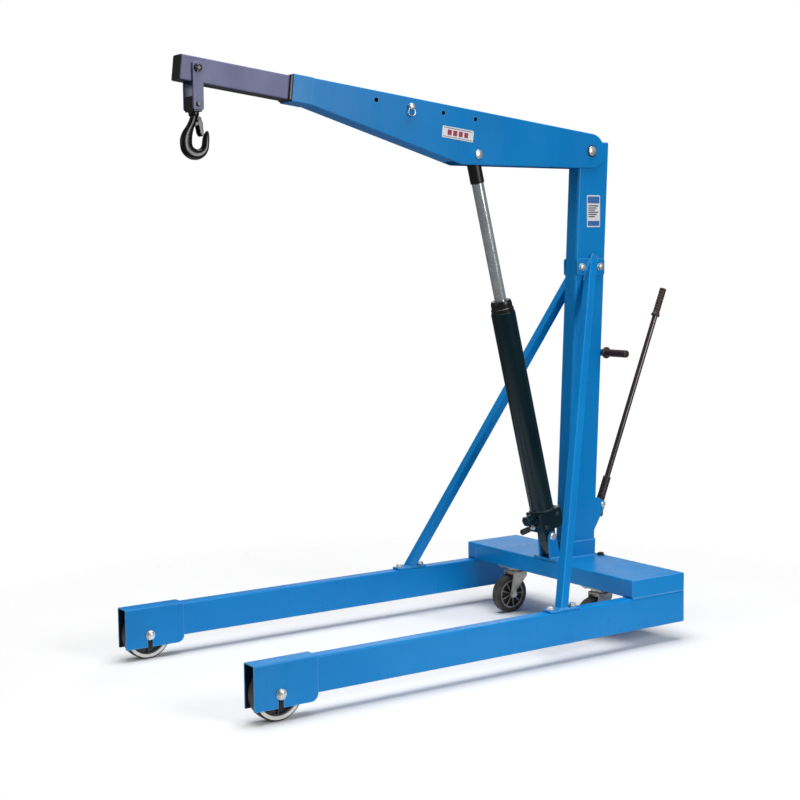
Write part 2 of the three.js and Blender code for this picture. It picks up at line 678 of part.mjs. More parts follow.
/** The sliding extension: a rectangular tube, open at both ends and slotted for the lock pin. */
function extension() {
  const { width, height, wall, radius, front, rear } = EXTENSION;
  const middleZ = (BOOM.topZ + COLLAR_BOTTOM) / 2;
  const matrix = new THREE.Matrix4().makeBasis(
    new THREE.Vector3(1, 0, 0),
    new THREE.Vector3(0, 0, 1),
    new THREE.Vector3(0, -1, 0),
  );
  matrix.setPosition(0, rear, middleZ);
  const tube = boxTube({ width, depth: height, wall, radius, length: rear - front }, matrix);
  const slotRear = LOCK_PIN_Y + LOCK.pitch;
  const slotFront = LOCK_PIN_Y - 2 * LOCK.pitch;
  const slotHalf = LOCK.radius + RUN;
  return cut(
    tube,
    block([-width, width], [slotFront, slotRear], [LOCK.z - slotHalf, LOCK.z + slotHalf]),
    boreX(LOCK.radius, slotFront, LOCK.z),
    boreX(LOCK.radius, slotRear, LOCK.z),
    boreX(HANGER_BOLT.radius, HANGER_IN_BOOM.y, HANGER_IN_BOOM.z),
  );
}

/** The lock pin: a plain shank with a cross-drilled head on the left side. */
function lockPin() {
  const half = BOOM.width / 2;
  return cut(
    join(
      rodX(LOCK.radius, -half - LOCK_HEAD.tail, half + OVERLAP, 0, 0),
      rodX(LOCK_HEAD.radius, half + GAP, half + LOCK_HEAD.length, 0, 0),
    ),
    lockPinRing(RING.wire + RUN * 2),
  );
}

/** The ring through the lock pin's head; a thicker one cuts the hole for it. */
function lockPinRing(wire = RING.wire) {
  const geometry = new THREE.TorusGeometry(RING.radius, wire, 6, 20);
  geometry.rotateY(Math.PI / 2);
  geometry.translate(BOOM.width / 2 + RING.x, 0, RING.hole - RING.radius);
  return toSolid(geometry);
}

// ---------------------------------------------------------------- hook gear
/** Where the hanger bolt lies in the boom's own frame. */
const HANGER_IN_BOOM = (() => {
  const dy = HANGER.y - PIVOT.y;
  const dz = HANGER.z - PIVOT.z;
  const c = Math.cos(BOOM.rise);
  const s = Math.sin(BOOM.rise);
  return { y: dy * c - dz * s, z: dy * s + dz * c };
})();
const HANGER_INNER = EXTENSION.width / 2 + 2 * GAP;
const HANGER_OUTER = HANGER_INNER + HANGER.plate;

/** The bolt through the extension that the hanger plates hang from. */
function hangerBolt() {
  return axleBolt({ ...HANGER_BOLT, grip: HANGER_OUTER + GAP });
}

/** A hanger plate beside the extension. */
function hangerPlate(side) {
  const { halfWidth, above, below, hookDrop, radius } = HANGER;
  const shape = roundedRectangle(2 * halfWidth, above + below, radius);
  const inner = side > 0 ? HANGER_INNER : -HANGER_OUTER;
  const geometry = plateX(shape, inner, inner + HANGER.plate, 4);
  const middle = (above - below) / 2;
  return {
    middle,
    solid: cut(
      geometry,
      boreX(HANGER_BOLT.radius, 0, -middle),
      boreX(CROSSHEAD.pinRadius, 0, -hookDrop - middle),
    ),
  };
}

/** The crosshead between the plates, with a trunnion at each end and a stepped bore for the hook. */
function hookBlock() {
  const { halfDepth, bottom, top, pinRadius, pinOut, seat, boreRadius } = CROSSHEAD;
  const half = HANGER_INNER - 2 * RUN;
  return cut(
    join(
      block([-half, half], [-halfDepth, halfDepth], [bottom, top]),
      rodX(pinRadius, -HANGER_OUTER - pinOut, HANGER_OUTER + pinOut, 0, 0),
    ),
    rodZ(HOOK_SHANK.radius + RUN, -ACROSS, ACROSS, 0, 0),
    rodZ(boreRadius, seat, ACROSS, 0, 0),
  );
}

/** The nut on top of the hook's shank, inside the crosshead. */
const hookNut = () => cut(
  rodZ(HOOK_NUT.radius, CROSSHEAD.seat + GAP, HOOK_NUT.top, 0, 0, 6),
  rodZ(HOOK_SHANK.radius + RUN, 0, HOOK_NUT.top + THROUGH, 0, 0),
);

/** The forged hook in the plane of the boom, with its mouth towards the mast. */
function hook() {
  const { halfThick, outerRadius, outerZ, bowlRadius, bowlY, bowlZ } = HOOK;
  const { radius, bottom, top, collarRadius, collarBottom, collarTop } = HOOK_SHANK;
  const shape = new THREE.Shape();
  shape.moveTo(9, 72);
  shape.lineTo(16, 66);
  shape.lineTo(17, 56);
  shape.quadraticCurveTo(2, 44, -5, 24);
  shape.quadraticCurveTo(-8, 12, bowlY - bowlRadius, bowlZ);
  shape.absarc(bowlY, bowlZ, bowlRadius, Math.PI, Math.PI * 2);
  shape.quadraticCurveTo(25, 12, 33, 26);
  shape.quadraticCurveTo(37, 33, 41, 31);
  shape.quadraticCurveTo(46, 18, outerRadius, outerZ);
  shape.absarc(0, outerZ, outerRadius, 0, -Math.PI, true);
  shape.quadraticCurveTo(-42, 18, -26, 38);
  shape.quadraticCurveTo(-13, 52, -10, 72);
  shape.closePath();
  return cut(
    join(
      plateX(shape, -halfThick, halfThick, 7),
      rodZ(collarRadius, collarBottom, collarTop, 0, 0),
      rodZ(radius, bottom, top, 0, 0),
    ),
    boreX(LATCH.pinRadius, LATCH.y, LATCH.z),
  );
}

/** The spring latch: a folded plate with an ear on each side of the hook's neck. */
function hookLatch() {
  const { length, thick, side, pinRadius, earRadius } = LATCH;
  const { front, top, foot, rear, footRear } = LATCH_WEB;
  const inner = HOOK.halfThick + side;
  const outer = inner + thick;
  const ear = new THREE.Shape();
  ear.absarc(0, 0, earRadius, 0, Math.PI);
  ear.lineTo(thick, front - length);
  ear.lineTo(front, -length);
  ear.lineTo(footRear, -length);
  ear.lineTo(rear, -rear);
  ear.closePath();
  const web = outline([
    [rear, top],
    [front, top],
    [foot, -length],
    [footRear, -length],
  ]);
  return join(
    plateX(ear, inner, outer, 6),
    plateX(ear, -outer, -inner, 6),
    plateX(web, -inner - OVERLAP, inner + OVERLAP),
    rodX(pinRadius, -outer + thick / 4, outer - thick / 4, 0, 0),
  );
}

// ---------------------------------------------------------------- ram
const BARREL = { radius: 39, bore: 31, bottom: 88.4, top: 755.8, floor: 12, edge: 2 };
const GLAND = { depth: 26, height: 38, edge: 2 };
const PISTON = { bottom: 440, length: 40 };
const ROD_RADIUS = 19;
const ROD_END = { bottom: 1169.8, radius: 22, eye: 26, halfWidth: 20 };
const PUMP = { halfWidth: 36, front: -42, rear: 52, bottom: 24, top: BARREL.bottom - GAP };
const LUG = {
  halfWidth: 19.5, halfTop: 24, halfWaist: 20, halfBottom: 14, top: 30, waist: -20, bottom: -69,
};
const FILLER = { z: 73, radius: 15, front: -70, hex: 17, end: -76 };
const VALVE = { z: 44, radius: 5, knobRadius: 9.5, rear: -20, knobRear: -60, front: -98 };
const PLUNGER = { radius: 9, front: -210, rear: -158, bore: [-237, -120] };

/** Turns a place (y, z) of the crane into the ram's own frame. */
function inRam(y, z) {
  const dy = y - RAM_FOOT.y;
  const dz = z - RAM_FOOT.z;
  const c = Math.cos(RAM_LEAN);
  const s = Math.sin(RAM_LEAN);
  return [0, dy * c + dz * s, dz * c - dy * s];
}

/** The pump block under the barrel, with a long lug for the clevis, plunger bore and valve bore. */
function pumpBlock() {
  const lug = outline([
    [-LUG.halfBottom, LUG.bottom],
    [LUG.halfBottom, LUG.bottom],
    [LUG.halfWaist, LUG.waist],
    [LUG.halfTop, LUG.top],
    [-LUG.halfTop, LUG.top],
    [-LUG.halfWaist, LUG.waist],
  ]);
  const [boreFront, boreRear] = PLUNGER.bore;
  return cut(
    join(
      block([-PUMP.halfWidth, PUMP.halfWidth], [PUMP.front, PUMP.rear], [PUMP.bottom, PUMP.top]),
      plateX(lug, -LUG.halfWidth, LUG.halfWidth),
      rod(FILLER.radius, [0, PUMP.front + OVERLAP, FILLER.z], [0, FILLER.front, FILLER.z]),
      rod(FILLER.hex, [0, FILLER.front, FILLER.z], [0, FILLER.end, FILLER.z], 6),
    ),
    boreX(RAM_FOOT.radius, 0, 0),
    rod(PLUNGER.radius + RUN, inRam(boreFront, PUSH_ROD.z), inRam(boreRear, PUSH_ROD.z)),
    rod(VALVE.radius + RUN, [0, VALVE.rear + OVERLAP * 2, VALVE.z], [0, VALVE.knobRear, VALVE.z]),
  );
}

/** The hand pump's plunger, level and in line with the push rod. */
const pumpPlunger = () =>
  rod(PLUNGER.radius, inRam(PLUNGER.front, PUSH_ROD.z), inRam(PLUNGER.rear, PUSH_ROD.z));

/** The release valve: a stem in the block and a knob in front of it. */
function releaseValve() {
  const { z, radius, knobRadius, rear, knobRear, front } = VALVE;
  return join(
    rod(radius, [0, rear, z], [0, knobRear - OVERLAP, z]),
    rod(knobRadius, [0, knobRear, z], [0, front, z]),
  );
}

/** The barrel: a tube with a closed foot. */
function ramTube() {
  const { radius, bore, bottom, top, floor, edge } = BARREL;
  return turnedZ([
    [0, bottom],
    [radius - edge, bottom],
    [radius, bottom + edge],
    [radius, top - edge],
    [radius - edge, top],
    [bore, top],
    [bore, bottom + floor],
    [0, bottom + floor],
  ]);
}

/** The gland that screws into the barrel's mouth and guides the rod. */
function ramGland() {
  const { bore, top } = BARREL;
  const { depth, height, edge } = GLAND;
  const hole = ROD_RADIUS + RUN;
  return turnedZ([
    [hole, top - depth],
    [bore - RUN, top - depth],
    [bore - RUN, top + RUN],
    [bore, top + RUN],
    [bore, top + height - edge],
    [bore - edge, top + height],
    [hole, top + height],
  ]);
}

/** The piston and its rod, turned in one. */
function ramRod() {
  const { bottom, length } = PISTON;
  return turnedZ([
    [0, bottom],
    [BARREL.bore - RUN, bottom],
    [BARREL.bore - RUN, bottom + length],
    [ROD_RADIUS, bottom + length],
    [ROD_RADIUS, ROD_END.bottom - GAP],
    [0, ROD_END.bottom - GAP],
  ]);
}

/** The head of the rod: a round neck and an eye. */
function rodEnd() {
  const { bottom, radius, eye, halfWidth } = ROD_END;
  return cut(
    join(
      rodZ(radius, bottom, RAM_LENGTH - radius, 0, 0),
      rodX(eye, -halfWidth, halfWidth, 0, RAM_LENGTH),
    ),
    boreX(RAM_FOOT.radius, 0, RAM_LENGTH),
  );
}

// ---------------------------------------------------------------- pump lever
const LEVER = { barRadius: 9, barBottom: 36, gripBottom: 670, gripTop: 769, capThick: 8 };
const LEVER_SOCKET = {
  radius: 13, bottom: 26, top: 95, half: 11, pivotRadius: 12, neckHalf: 9, neckTop: 34,
};
const LEVER_ARM = { length: 34, tipRadius: 9 };
const LEVER_GRIP = { radius: 11.5, ringRadius: 15, ring: 6, edge: 3 };

/** The lever's socket: a tube above the pivot and an arm down to the push rod. */
function leverSocket() {
  const { radius, bottom, top, half, pivotRadius, neckHalf, neckTop } = LEVER_SOCKET;
  const tipY = LEVER_ARM.length * Math.sin(LEVER_LEAN);
  const tipZ = -LEVER_ARM.length * Math.cos(LEVER_LEAN);
  const arm = new THREE.Shape();
  arm.absarc(0, 0, pivotRadius, 0, Math.PI);
  arm.absarc(tipY, tipZ, LEVER_ARM.tipRadius, Math.PI, Math.PI * 2);
  arm.closePath();
  return cut(
    join(
      plateX(arm, -half, half),
      block([-half, half], [-neckHalf, neckHalf], [0, neckTop]),
      rodZ(radius, bottom, top, 0, 0),
    ),
    boreX(LEVER_PIVOT.radius, 0, 0),
    rodZ(LEVER.barRadius + RUN, LEVER.barBottom, top + THROUGH, 0, 0),
  );
}

/** The lever's bar. */
const pumpLever = () =>
  rodZ(LEVER.barRadius, LEVER.barBottom + GAP, LEVER.gripTop - LEVER.capThick, 0, 0);

/** The lever's grip, with a ring at its lower end. */
function leverGrip() {
  const { gripBottom: bottom, gripTop: top, capThick, barRadius } = LEVER;
  const { radius, ringRadius, ring, edge } = LEVER_GRIP;
  const hole = barRadius + RUN;
  const profile = [
    [hole, bottom],
    [ringRadius, bottom],
    [ringRadius, bottom + ring],
    [radius, bottom + ring + edge],
    [radius, top - edge],
    [radius - edge, top],
    [0, top],
    [0, top - capThick + GAP],
    [hole, top - capThick + GAP],
  ];
  return turnedZ(profile, SMALL_TURNED_SIDES);
}

// ---------------------------------------------------------------- assembly: chassis
const beam = baseBox();
part(groupAt(crane, beam.y, beam.z), 'base_box', beam.solid, bluePaint);

for (const [sideName, side] of SIDES) {
  part(crane, `leg_${sideName}`, leg(side), bluePaint);

  const tip = groupAt(crane, 0, 0, 0, side * LEG_X);
  part(tip, `tip_housing_${sideName}`, tipHousing(), bluePaint);
  const axle = groupAt(tip, TIP.axleY, TIP.rollerRadius);
  const grip = LEG.width / 2 + 2 * GAP + HOUSING.wall;
  part(axle, `tip_axle_${sideName}`, axleBolt({ ...TIP_BOLT, radius: TIP.axleRadius, grip }), zinc);
  part(axle, `tip_roller_${sideName}`, tipRoller(), paleNylon);

  const caster = groupAt(crane, CASTER.y, 0, 0, side * CASTER.x);
  part(caster, `caster_plate_${sideName}`, casterPlate(), zinc);
  part(caster, `caster_fork_${sideName}`, casterFork(), zinc);
  const wheel = groupAt(caster, -CASTER.trail, CASTER.wheelRadius);
  const wheelBolt = { ...CASTER_BOLT, radius: CASTER.axleRadius, grip: FORK_OUTER + GAP };
  part(wheel, `caster_axle_${sideName}`, axleBolt(wheelBolt), zinc);
  part(wheel, `caster_wheel_${sideName}`, casterWheel(), tyreGrey);
}

// ---------------------------------------------------------------- assembly: mast and braces
part(crane, 'mast', mast(), bluePaint);
part(crane, 'mast_foot_collar', mastFootCollar(), bluePaint);

for (const [sideName, side] of SIDES) {
  part(crane, `brace_${sideName}`, brace(side), bluePaint);
  footBoltPlaces().forEach((y, i) => {
    const place = groupAt(crane, y, 0, 0, side * LEG_X);
    part(place, `brace_foot_bolt_${sideName}_${i === 0 ? 'front' : 'rear'}`, footBolt(), zinc);
  });
}
for (const [where, y] of BRACE_BOLTS) {
  part(groupAt(crane, y, BRACE_BOLT.z), `brace_bolt_${where}`, braceBolt(), zinc);
}

part(crane, 'ram_bracket', ramBracket(), bluePaint);
const ramFootPin = groupAt(crane, RAM_FOOT.y, RAM_FOOT.z);
const ramPinSize = { ...RAM_PIN_HEAD, radius: RAM_FOOT.radius, grip: RAM_CLEVIS.earOuter + GAP };
part(ramFootPin, 'ram_lower_pin', headedPin(ramPinSize), zinc);

part(crane, 'lever_bracket', leverBracket(), bluePaint);
const leverPin = groupAt(crane, LEVER_PIVOT.y, LEVER_PIVOT.z);
const leverPinSize = { ...LEVER_PIN_HEAD, radius: LEVER_PIVOT.radius, grip: LEVER_BRACKET.outer + GAP };
part(leverPin, 'lever_pivot_pin', headedPin(leverPinSize), zinc);

part(crane, 'push_bar', pushBar(), bluePaint);
for (const [sideName, side] of SIDES) {
  part(groupAt(crane, PUSH_BAR.y, PUSH_BAR.z), `push_grip_${sideName}`, pushGrip(side), rubber);
}

// ---------------------------------------------------------------- assembly: boom and hook gear
const boomPivot = groupAt(crane, PIVOT.y, PIVOT.z);
const pivotPinSize = { ...PIVOT_HEAD, radius: PIVOT.radius, grip: BOOM.width / 2 + GAP };
part(boomPivot, 'boom_pivot_pin', headedPin(pivotPinSize), zinc);

const boomGroup = groupAt(crane, PIVOT.y, PIVOT.z, -BOOM.rise);
part(boomGroup, 'boom', boom(), bluePaint);
part(boomGroup, 'boom_mouth_guide', boomMouthGuide(), blackSteel);
for (const [sideName, side] of SIDES) {
  const place = groupAt(boomGroup, RAM_PIN.y, RAM_PIN.z);
  part(place, `ram_upper_pin_${sideName}`, ramUpperPin(side), zinc);
}
part(boomGroup, 'extension', extension(), darkGreyPaint);
part(groupAt(boomGroup, HANGER_IN_BOOM.y, HANGER_IN_BOOM.z), 'hanger_bolt', hangerBolt(), blackSteel);

const lockPlace = groupAt(boomGroup, LOCK_PIN_Y, LOCK.z, BOOM.rise);
part(lockPlace, 'lock_pin', lockPin(), zinc);
part(lockPlace, 'lock_pin_ring', lockPinRing(), zinc);

for (const [sideName, side] of SIDES) {
  const plate = hangerPlate(side);
  const place = groupAt(crane, HANGER.y, HANGER.z + plate.middle);
  part(place, `hanger_plate_${sideName}`, plate.solid, darkGreyPaint);
}

const trunnion = groupAt(crane, HANGER.y, HANGER.z - HANGER.hookDrop);
part(trunnion, 'hook_block', hookBlock(), blackSteel);
part(trunnion, 'hook_nut', hookNut(), blackSteel);
const hookPlace = groupAt(trunnion, 0, -HOOK_DROP);
part(hookPlace, 'hook', hook(), forgedBlack);
part(groupAt(hookPlace, LATCH.y, LATCH.z), 'hook_latch', hookLatch(), blackSteel);

// ---------------------------------------------------------------- assembly: ram and pump
const ram = groupAt(crane, RAM_FOOT.y, RAM_FOOT.z, RAM_LEAN);
part(ram, 'ram_tube', ramTube(), blackGreenPaint);
part(ram, 'ram_gland', ramGland(), blackSteel);
part(ram, 'pump_block', pumpBlock(), blackGreenPaint);
part(ram, 'pump_plunger', pumpPlunger(), chrome);
part(ram, 'release_valve', releaseValve(), blackSteel);
part(ram, 'ram_rod', ramRod(), chrome);
part(ram, 'rod_end', rodEnd(), blackSteel);

const rodPlaces = [[0, PUSH_ROD.front, PUSH_ROD.z], [0, PUSH_ROD.rear, PUSH_ROD.z]];
part(crane, 'pump_push_rod', rod(PUSH_ROD.radius, ...rodPlaces), zinc);

const lever = groupAt(crane, LEVER_PIVOT.y, LEVER_PIVOT.z, -LEVER_LEAN);
part(lever, 'lever_socket', leverSocket(), blackSteel);
part(lever, 'pump_lever', pumpLever(), blackSteel);
part(lever, 'lever_grip', leverGrip(), rubber);

export default crane;
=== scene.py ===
import math

import bmesh
import bpy
from mathutils import Matrix, Vector
from mathutils.geometry import tessellate_polygon


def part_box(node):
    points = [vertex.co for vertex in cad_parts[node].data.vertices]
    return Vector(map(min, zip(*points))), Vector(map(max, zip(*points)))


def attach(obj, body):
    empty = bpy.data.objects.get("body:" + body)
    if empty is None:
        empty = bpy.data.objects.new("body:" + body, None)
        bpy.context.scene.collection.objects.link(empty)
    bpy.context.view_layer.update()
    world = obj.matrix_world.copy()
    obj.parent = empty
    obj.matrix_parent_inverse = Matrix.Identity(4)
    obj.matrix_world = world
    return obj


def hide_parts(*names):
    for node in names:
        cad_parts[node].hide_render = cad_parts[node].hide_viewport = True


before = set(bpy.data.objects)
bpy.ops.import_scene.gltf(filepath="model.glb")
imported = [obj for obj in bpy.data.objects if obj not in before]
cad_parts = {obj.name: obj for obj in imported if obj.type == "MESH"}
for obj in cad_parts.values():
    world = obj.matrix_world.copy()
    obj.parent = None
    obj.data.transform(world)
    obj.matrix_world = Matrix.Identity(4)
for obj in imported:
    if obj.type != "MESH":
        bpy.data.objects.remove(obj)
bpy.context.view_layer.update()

MM = 0.001
TAU = 2 * math.pi
GAP = 0.4
SIDES = (("left", 1), ("right", -1))

# ---------------------------------------------------------------- driving dimensions (mm)
LEG_X, LEG_WIDTH, LEG_HEIGHT, LEG_BOTTOM, LEG_LENGTH, LEG_WALL = 396, 44, 100, 57, 1372, 4
LEG_TOP = LEG_BOTTOM + LEG_HEIGHT
BOX_TOP, BOX_DEPTH = 213.5, 218
TIP_Y, TIP_R, TIP_HALF = -1458, 75, 17
HOUSE_FRONT, HOUSE_REAR, HOUSE_BOTTOM, HOUSE_TOP, HOUSE_WALL = -1537, -1344, 38, 161, 5.3
CASTER_X, CASTER_Y, CASTER_TRAIL, CASTER_R, CASTER_HALF = 215, -166, 30, 62.5, 18
MAST_WIDTH, MAST_DEPTH, MAST_LEAN, MAST_TOP = 56, 125, math.radians(2.7), 1571
BRACE_SIDE, BRACE_PLATE, BRACE_TOP, BRACE_FOOT_Y = 30, 6, (-50, 1160), -482
BRACE_BOLT_YS, BRACE_BOLT_Z = (("front", -87), ("rear", -8)), 1167
FOOT_BOLT_OFFSET = 42
RAM_LEAN, RAM_LENGTH = math.radians(13.59), 1258.6
BOOM_RISE, BOOM_HALF, BOOM_TOP, BOOM_FRONT = math.radians(6.58), 34, 55.7, -1125
COLLAR_REAR, COLLAR_BOTTOM = -1061, -22
KINK = (-511, -115)
EXT_FRONT, EXT_REAR, EXT_WIDTH, EXT_HEIGHT = -1471, -575, 50, 70
LOCK_HOLES = (-477, -599, -721, -843)
LOCK_Z, LOCK_R = 28.4, 7.3
LEVER_LEAN = math.radians(22.15)
HANGER_INNER, HANGER_OUTER = 25.8, 31.8
BARREL_R, BARREL_BOTTOM, BARREL_TOP = 39, 88.4, 755.8
ROD_R = 19
PUSH_ROD_Z, PIN_BORE, BOOM_PLATE = 342.5, 10.3, 3.5
HOOK_DROP, LATCH_PIVOT = 100, (11, 61)
PUSH_BAR, RAM_FOOT, LEVER_PIVOT = (17, 884), (-208.5, 294.5), (18, 376.5)  # (y, z)
MAST_REAR = (25, 1319)  # (y, z) of a point on the mast's rear face
AXIS_X, AXIS_Z = Vector((1, 0, 0)), Vector((0, 0, 1))


# ---------------------------------------------------------------- frames
def middle(node):
    """The middle of a CAD node's box, in metres."""
    low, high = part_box(node)
    return (low + high) / 2


def frame_at(origin, turn=0.0):
    """Local millimetres at an origin in metres, turned about X."""
    return Matrix.Translation(origin) @ Matrix.Rotation(turn, 4, "X") @ Matrix.Scale(MM, 4)


def shift(x, y, z):
    return Matrix.Translation((x, y, z))


CRANE = frame_at(Vector((0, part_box("leg_left")[1].y, 0)))
BOOM = frame_at(middle("boom_pivot_pin"), -BOOM_RISE)
RAM = frame_at(middle("ram_lower_pin"), RAM_LEAN)
LEVER = frame_at(middle("lever_pivot_pin"), -LEVER_LEAN)
HANGER = frame_at(middle("hanger_bolt"))
TRUNNION = frame_at(middle("hook_block") - Vector((0, 0, MM)))
HOOK = TRUNNION @ shift(0, 0, -HOOK_DROP)
LATCH = HOOK @ shift(0, *LATCH_PIVOT)
LOCK = frame_at(Vector((0, middle("lock_pin").y, middle("lock_pin").z)))

# Shapes are drawn in (u, v) and run along w.
X_WISE = Matrix(((0, 0, 1, 0), (1, 0, 0, 0), (0, 1, 0, 0), (0, 0, 0, 1)))  # u = y, v = z, w = x
Y_WISE = Matrix(((1, 0, 0, 0), (0, 0, 1, 0), (0, 1, 0, 0), (0, 0, 0, 1)))  # u = x, v = z, w = y
FLIP_X = Matrix.Scale(-1, 4, (1, 0, 0))
LIE_FORWARD = Matrix.Rotation(math.pi / 2, 4, "X")  # w = -y


# ---------------------------------------------------------------- outlines
def vectors(*points):
    return [Vector(p) for p in points]


def arc(u, v, radius, start, end, steps):
    """Points on an arc; angles in degrees."""
    angles = [math.radians(start + (end - start) * k / steps) for k in range(steps + 1)]
    return [Vector((u + radius * math.cos(a), v + radius * math.sin(a))) for a in angles]


def circle(u, v, radius, steps=40):
    return arc(u, v, radius, 0, 360, steps)[:-1]


def rounded(corners, steps=5):
    """A closed outline through corners (u, v, radius)."""
    points = []
    for i, (u, v, radius) in enumerate(corners):
        here = Vector((u, v))
        if radius <= 0:
            points.append(here)
            continue
        back = (Vector(corners[i - 1][:2]) - here).normalized()
        ahead = (Vector(corners[(i + 1) % len(corners)][:2]) - here).normalized()
        half = back.angle(ahead) / 2
        centre = here + (back + ahead).normalized() * (radius / math.sin(half))
        start = here + back * (radius / math.tan(half)) - centre
        end = here + ahead * (radius / math.tan(half)) - centre
        sweep = math.atan2(start.cross(end), start.dot(end))
        for k in range(steps + 1):
            points.append(centre + Matrix.Rotation(sweep * k / steps, 2) @ start)
    return points


def rectangle(u0, u1, v0, v1, radius, steps=5):
    corners = ((u0, v0), (u1, v0), (u1, v1), (u0, v1))
    return rounded([(*corner, radius) for corner in corners], steps)


def hexagon(radius):
    return [Vector((radius * math.cos(TAU * k / 6), radius * math.sin(TAU * k / 6))) for k in range(6)]


def area(loop):
    return sum(a.cross(b) for a, b in zip(loop, loop[1:] + loop[:1])) / 2


def inset(loop, distance):
    """Moves an outline to its left by a distance, with mitred corners."""
    moved_points = []
    for i, here in enumerate(loop):
        before = (here - loop[i - 1]).normalized()
        after = (loop[(i + 1) % len(loop)] - here).normalized()
        left_a, left_b = Vector((-before.y, before.x)), Vector((-after.y, after.x))
        mitre = (left_a + left_b) / max(1 + left_a.dot(left_b), 0.3)
        moved_points.append(here + mitre * distance)
    return moved_points


# ---------------------------------------------------------------- shapes: (points, faces)
def joined(*shapes):
    points, faces = [], []
    for more, more_faces in shapes:
        start = len(points)
        points += more
        faces += [tuple(i + start for i in face) for face in more_faces]
    return points, faces


def moved(shape, matrix):
    return [matrix @ Vector(p) for p in shape[0]], shape[1]


def mirrored(shape):
    return moved(shape, FLIP_X)


def both_sides(shape):
    return joined(shape, mirrored(shape))


def on_side(shape, side):
    """A shape drawn for the left side, or its mirror for the right."""
    return shape if side > 0 else mirrored(shape)


def prism(outer, low, high, bevel=1.0, holes=(), steps=3):
    """An outline run from w = low to w = high, with its edges rounded."""
    loops = [outer if area(outer) > 0 else outer[::-1]]
    loops += [hole if area(hole) < 0 else hole[::-1] for hole in holes]
    quarter = [math.pi / 2 * k / steps for k in range(steps + 1)]
    profile = [(bevel * (1 - math.sin(a)), low + bevel * (1 - math.cos(a))) for a in quarter]
    profile += [(bevel * (1 - math.cos(a)), high - bevel * (1 - math.sin(a))) for a in quarter]
    points, faces, ends = [], [], ([], [])
    for loop in loops:
        count = len(loop)
        start = len(points)
        for distance, w in profile:
            points += [Vector((p.x, p.y, w)) for p in inset(loop, distance)]
        for ring in range(len(profile) - 1):
            for k in range(count):
                a, b = start + ring * count + k, start + ring * count + (k + 1) % count
                faces.append((a, b, b + count, a + count))
        last = start + (len(profile) - 1) * count
        ends[0].append(list(range(start, start + count)))
        ends[1].append(list(range(last, last + count)))
    for end in ends:
        flat = [i for loop in end for i in loop]
        triangles = tessellate_polygon([[points[i] for i in loop] for loop in end])
        faces += [tuple(flat[i] for i in triangle) for triangle in triangles]
    return points, faces


def x_prism(outline, low, high, bevel=1.0, holes=(), steps=3):
    """A prism drawn in (y, z) and run along X."""
    return moved(prism(outline, low, high, bevel, holes, steps), X_WISE)


def y_prism(outline, low, high, bevel=1.0, holes=()):
    """A prism drawn in (x, z) and run along Y."""
    return moved(prism(outline, low, high, bevel, holes), Y_WISE)


def turned(profile, sides=48):
    """A solid of revolution about w from a closed profile of (radius, w)."""
    points, faces, rings = [], [], []
    for radius, w in profile:
        start = len(points)
        if radius < 1e-4:
            points.append(Vector((0, 0, w)))
            rings.append([start] * sides)
            continue
        angles = [TAU * k / sides for k in range(sides)]
        points += [Vector((radius * math.cos(a), radius * math.sin(a), w)) for a in angles]
        rings.append(list(range(start, start + sides)))
    for ring, following in zip(rings, rings[1:] + rings[:1]):
        for k in range(sides):
            n = (k + 1) % sides
            corners = dict.fromkeys((ring[k], ring[n], following[n], following[k]))
            if len(corners) > 2:
                faces.append(tuple(corners))
    return points, faces


def rod(radius, low, high, bevel=0.0, sides=32):
    """A round bar about w; with a bevel its ends are rounded."""
    if bevel:
        outline = [(0, low, 0), (radius, low, bevel), (radius, high, bevel), (0, high, 0)]
        return turned(rounded(outline, 3), sides)
    return turned([(0, low), (radius, low), (radius, high), (0, high)], sides)


def resample(path, spacing, closed=False):
    """Even points along a path."""
    ends = path + path[:1] if closed else path
    lengths = [(b - a).length for a, b in zip(ends, ends[1:])]
    total = sum(lengths)
    count = max(2, round(total / spacing))
    result, walked, i = [], 0.0, 0
    for k in range(count if closed else count + 1):
        target = total * k / count
        while i < len(lengths) - 1 and walked + lengths[i] < target:
            walked += lengths[i]
            i += 1
        share = (target - walked) / lengths[i] if lengths[i] else 0
        result.append(ends[i].lerp(ends[i + 1], min(share, 1)))
    return result


def swept(path, radius, sides=12, closed=False):
    """A round bar along a path; radius is a number or a function of the point's index."""
    size = radius if callable(radius) else (lambda k: radius)
    count = len(path)
    points, faces, side = [], [], None
    for k, here in enumerate(path):
        ahead = path[(k + 1) % count] if closed or k < count - 1 else here
        back = path[k - 1] if closed or k > 0 else here
        along = (ahead - back).normalized()
        if side is None:
            side = along.orthogonal().normalized()
        side = (side - along * side.dot(along)).normalized()
        other = along.cross(side)
        for s in range(sides):
            angle = TAU * s / sides
            offset = side * math.cos(angle) + other * math.sin(angle)
            points.append(here + offset * size(k))
    for k in range(count if closed else count - 1):
        for s in range(sides):
            a, b = k * sides + s, k * sides + (s + 1) % sides
            c, d = ((k + 1) % count) * sides, (s + 1) % sides
            faces.append((a, b, c + d, c + s))
    if not closed:
        faces += [tuple(range(sides))[::-1], tuple(range((count - 1) * sides, count * sides))]
    return points, faces


def bead(path, radius=2.2, closed=True):
    """A weld bead with its ripples."""
    spacing, sides, ripple = 1.7, 8, (1.0, 1.13, 1.0, 0.84)

    def size(k):
        return radius * ripple[k % 4] * (1 + 0.08 * math.sin(k * 0.37))

    return swept(resample(path, spacing, closed), size, sides, closed)


def lofted(rings):
    """A skin over rings of equal length, closed at both ends."""
    count = len(rings[0])
    points = [p for ring in rings for p in ring]
    faces = [tuple(range(count))[::-1], tuple(range(len(points) - count, len(points)))]
    for r in range(len(rings) - 1):
        for k in range(count):
            a, b = r * count + k, r * count + (k + 1) % count
            faces.append((a, b, b + count, a + count))
    return points, faces


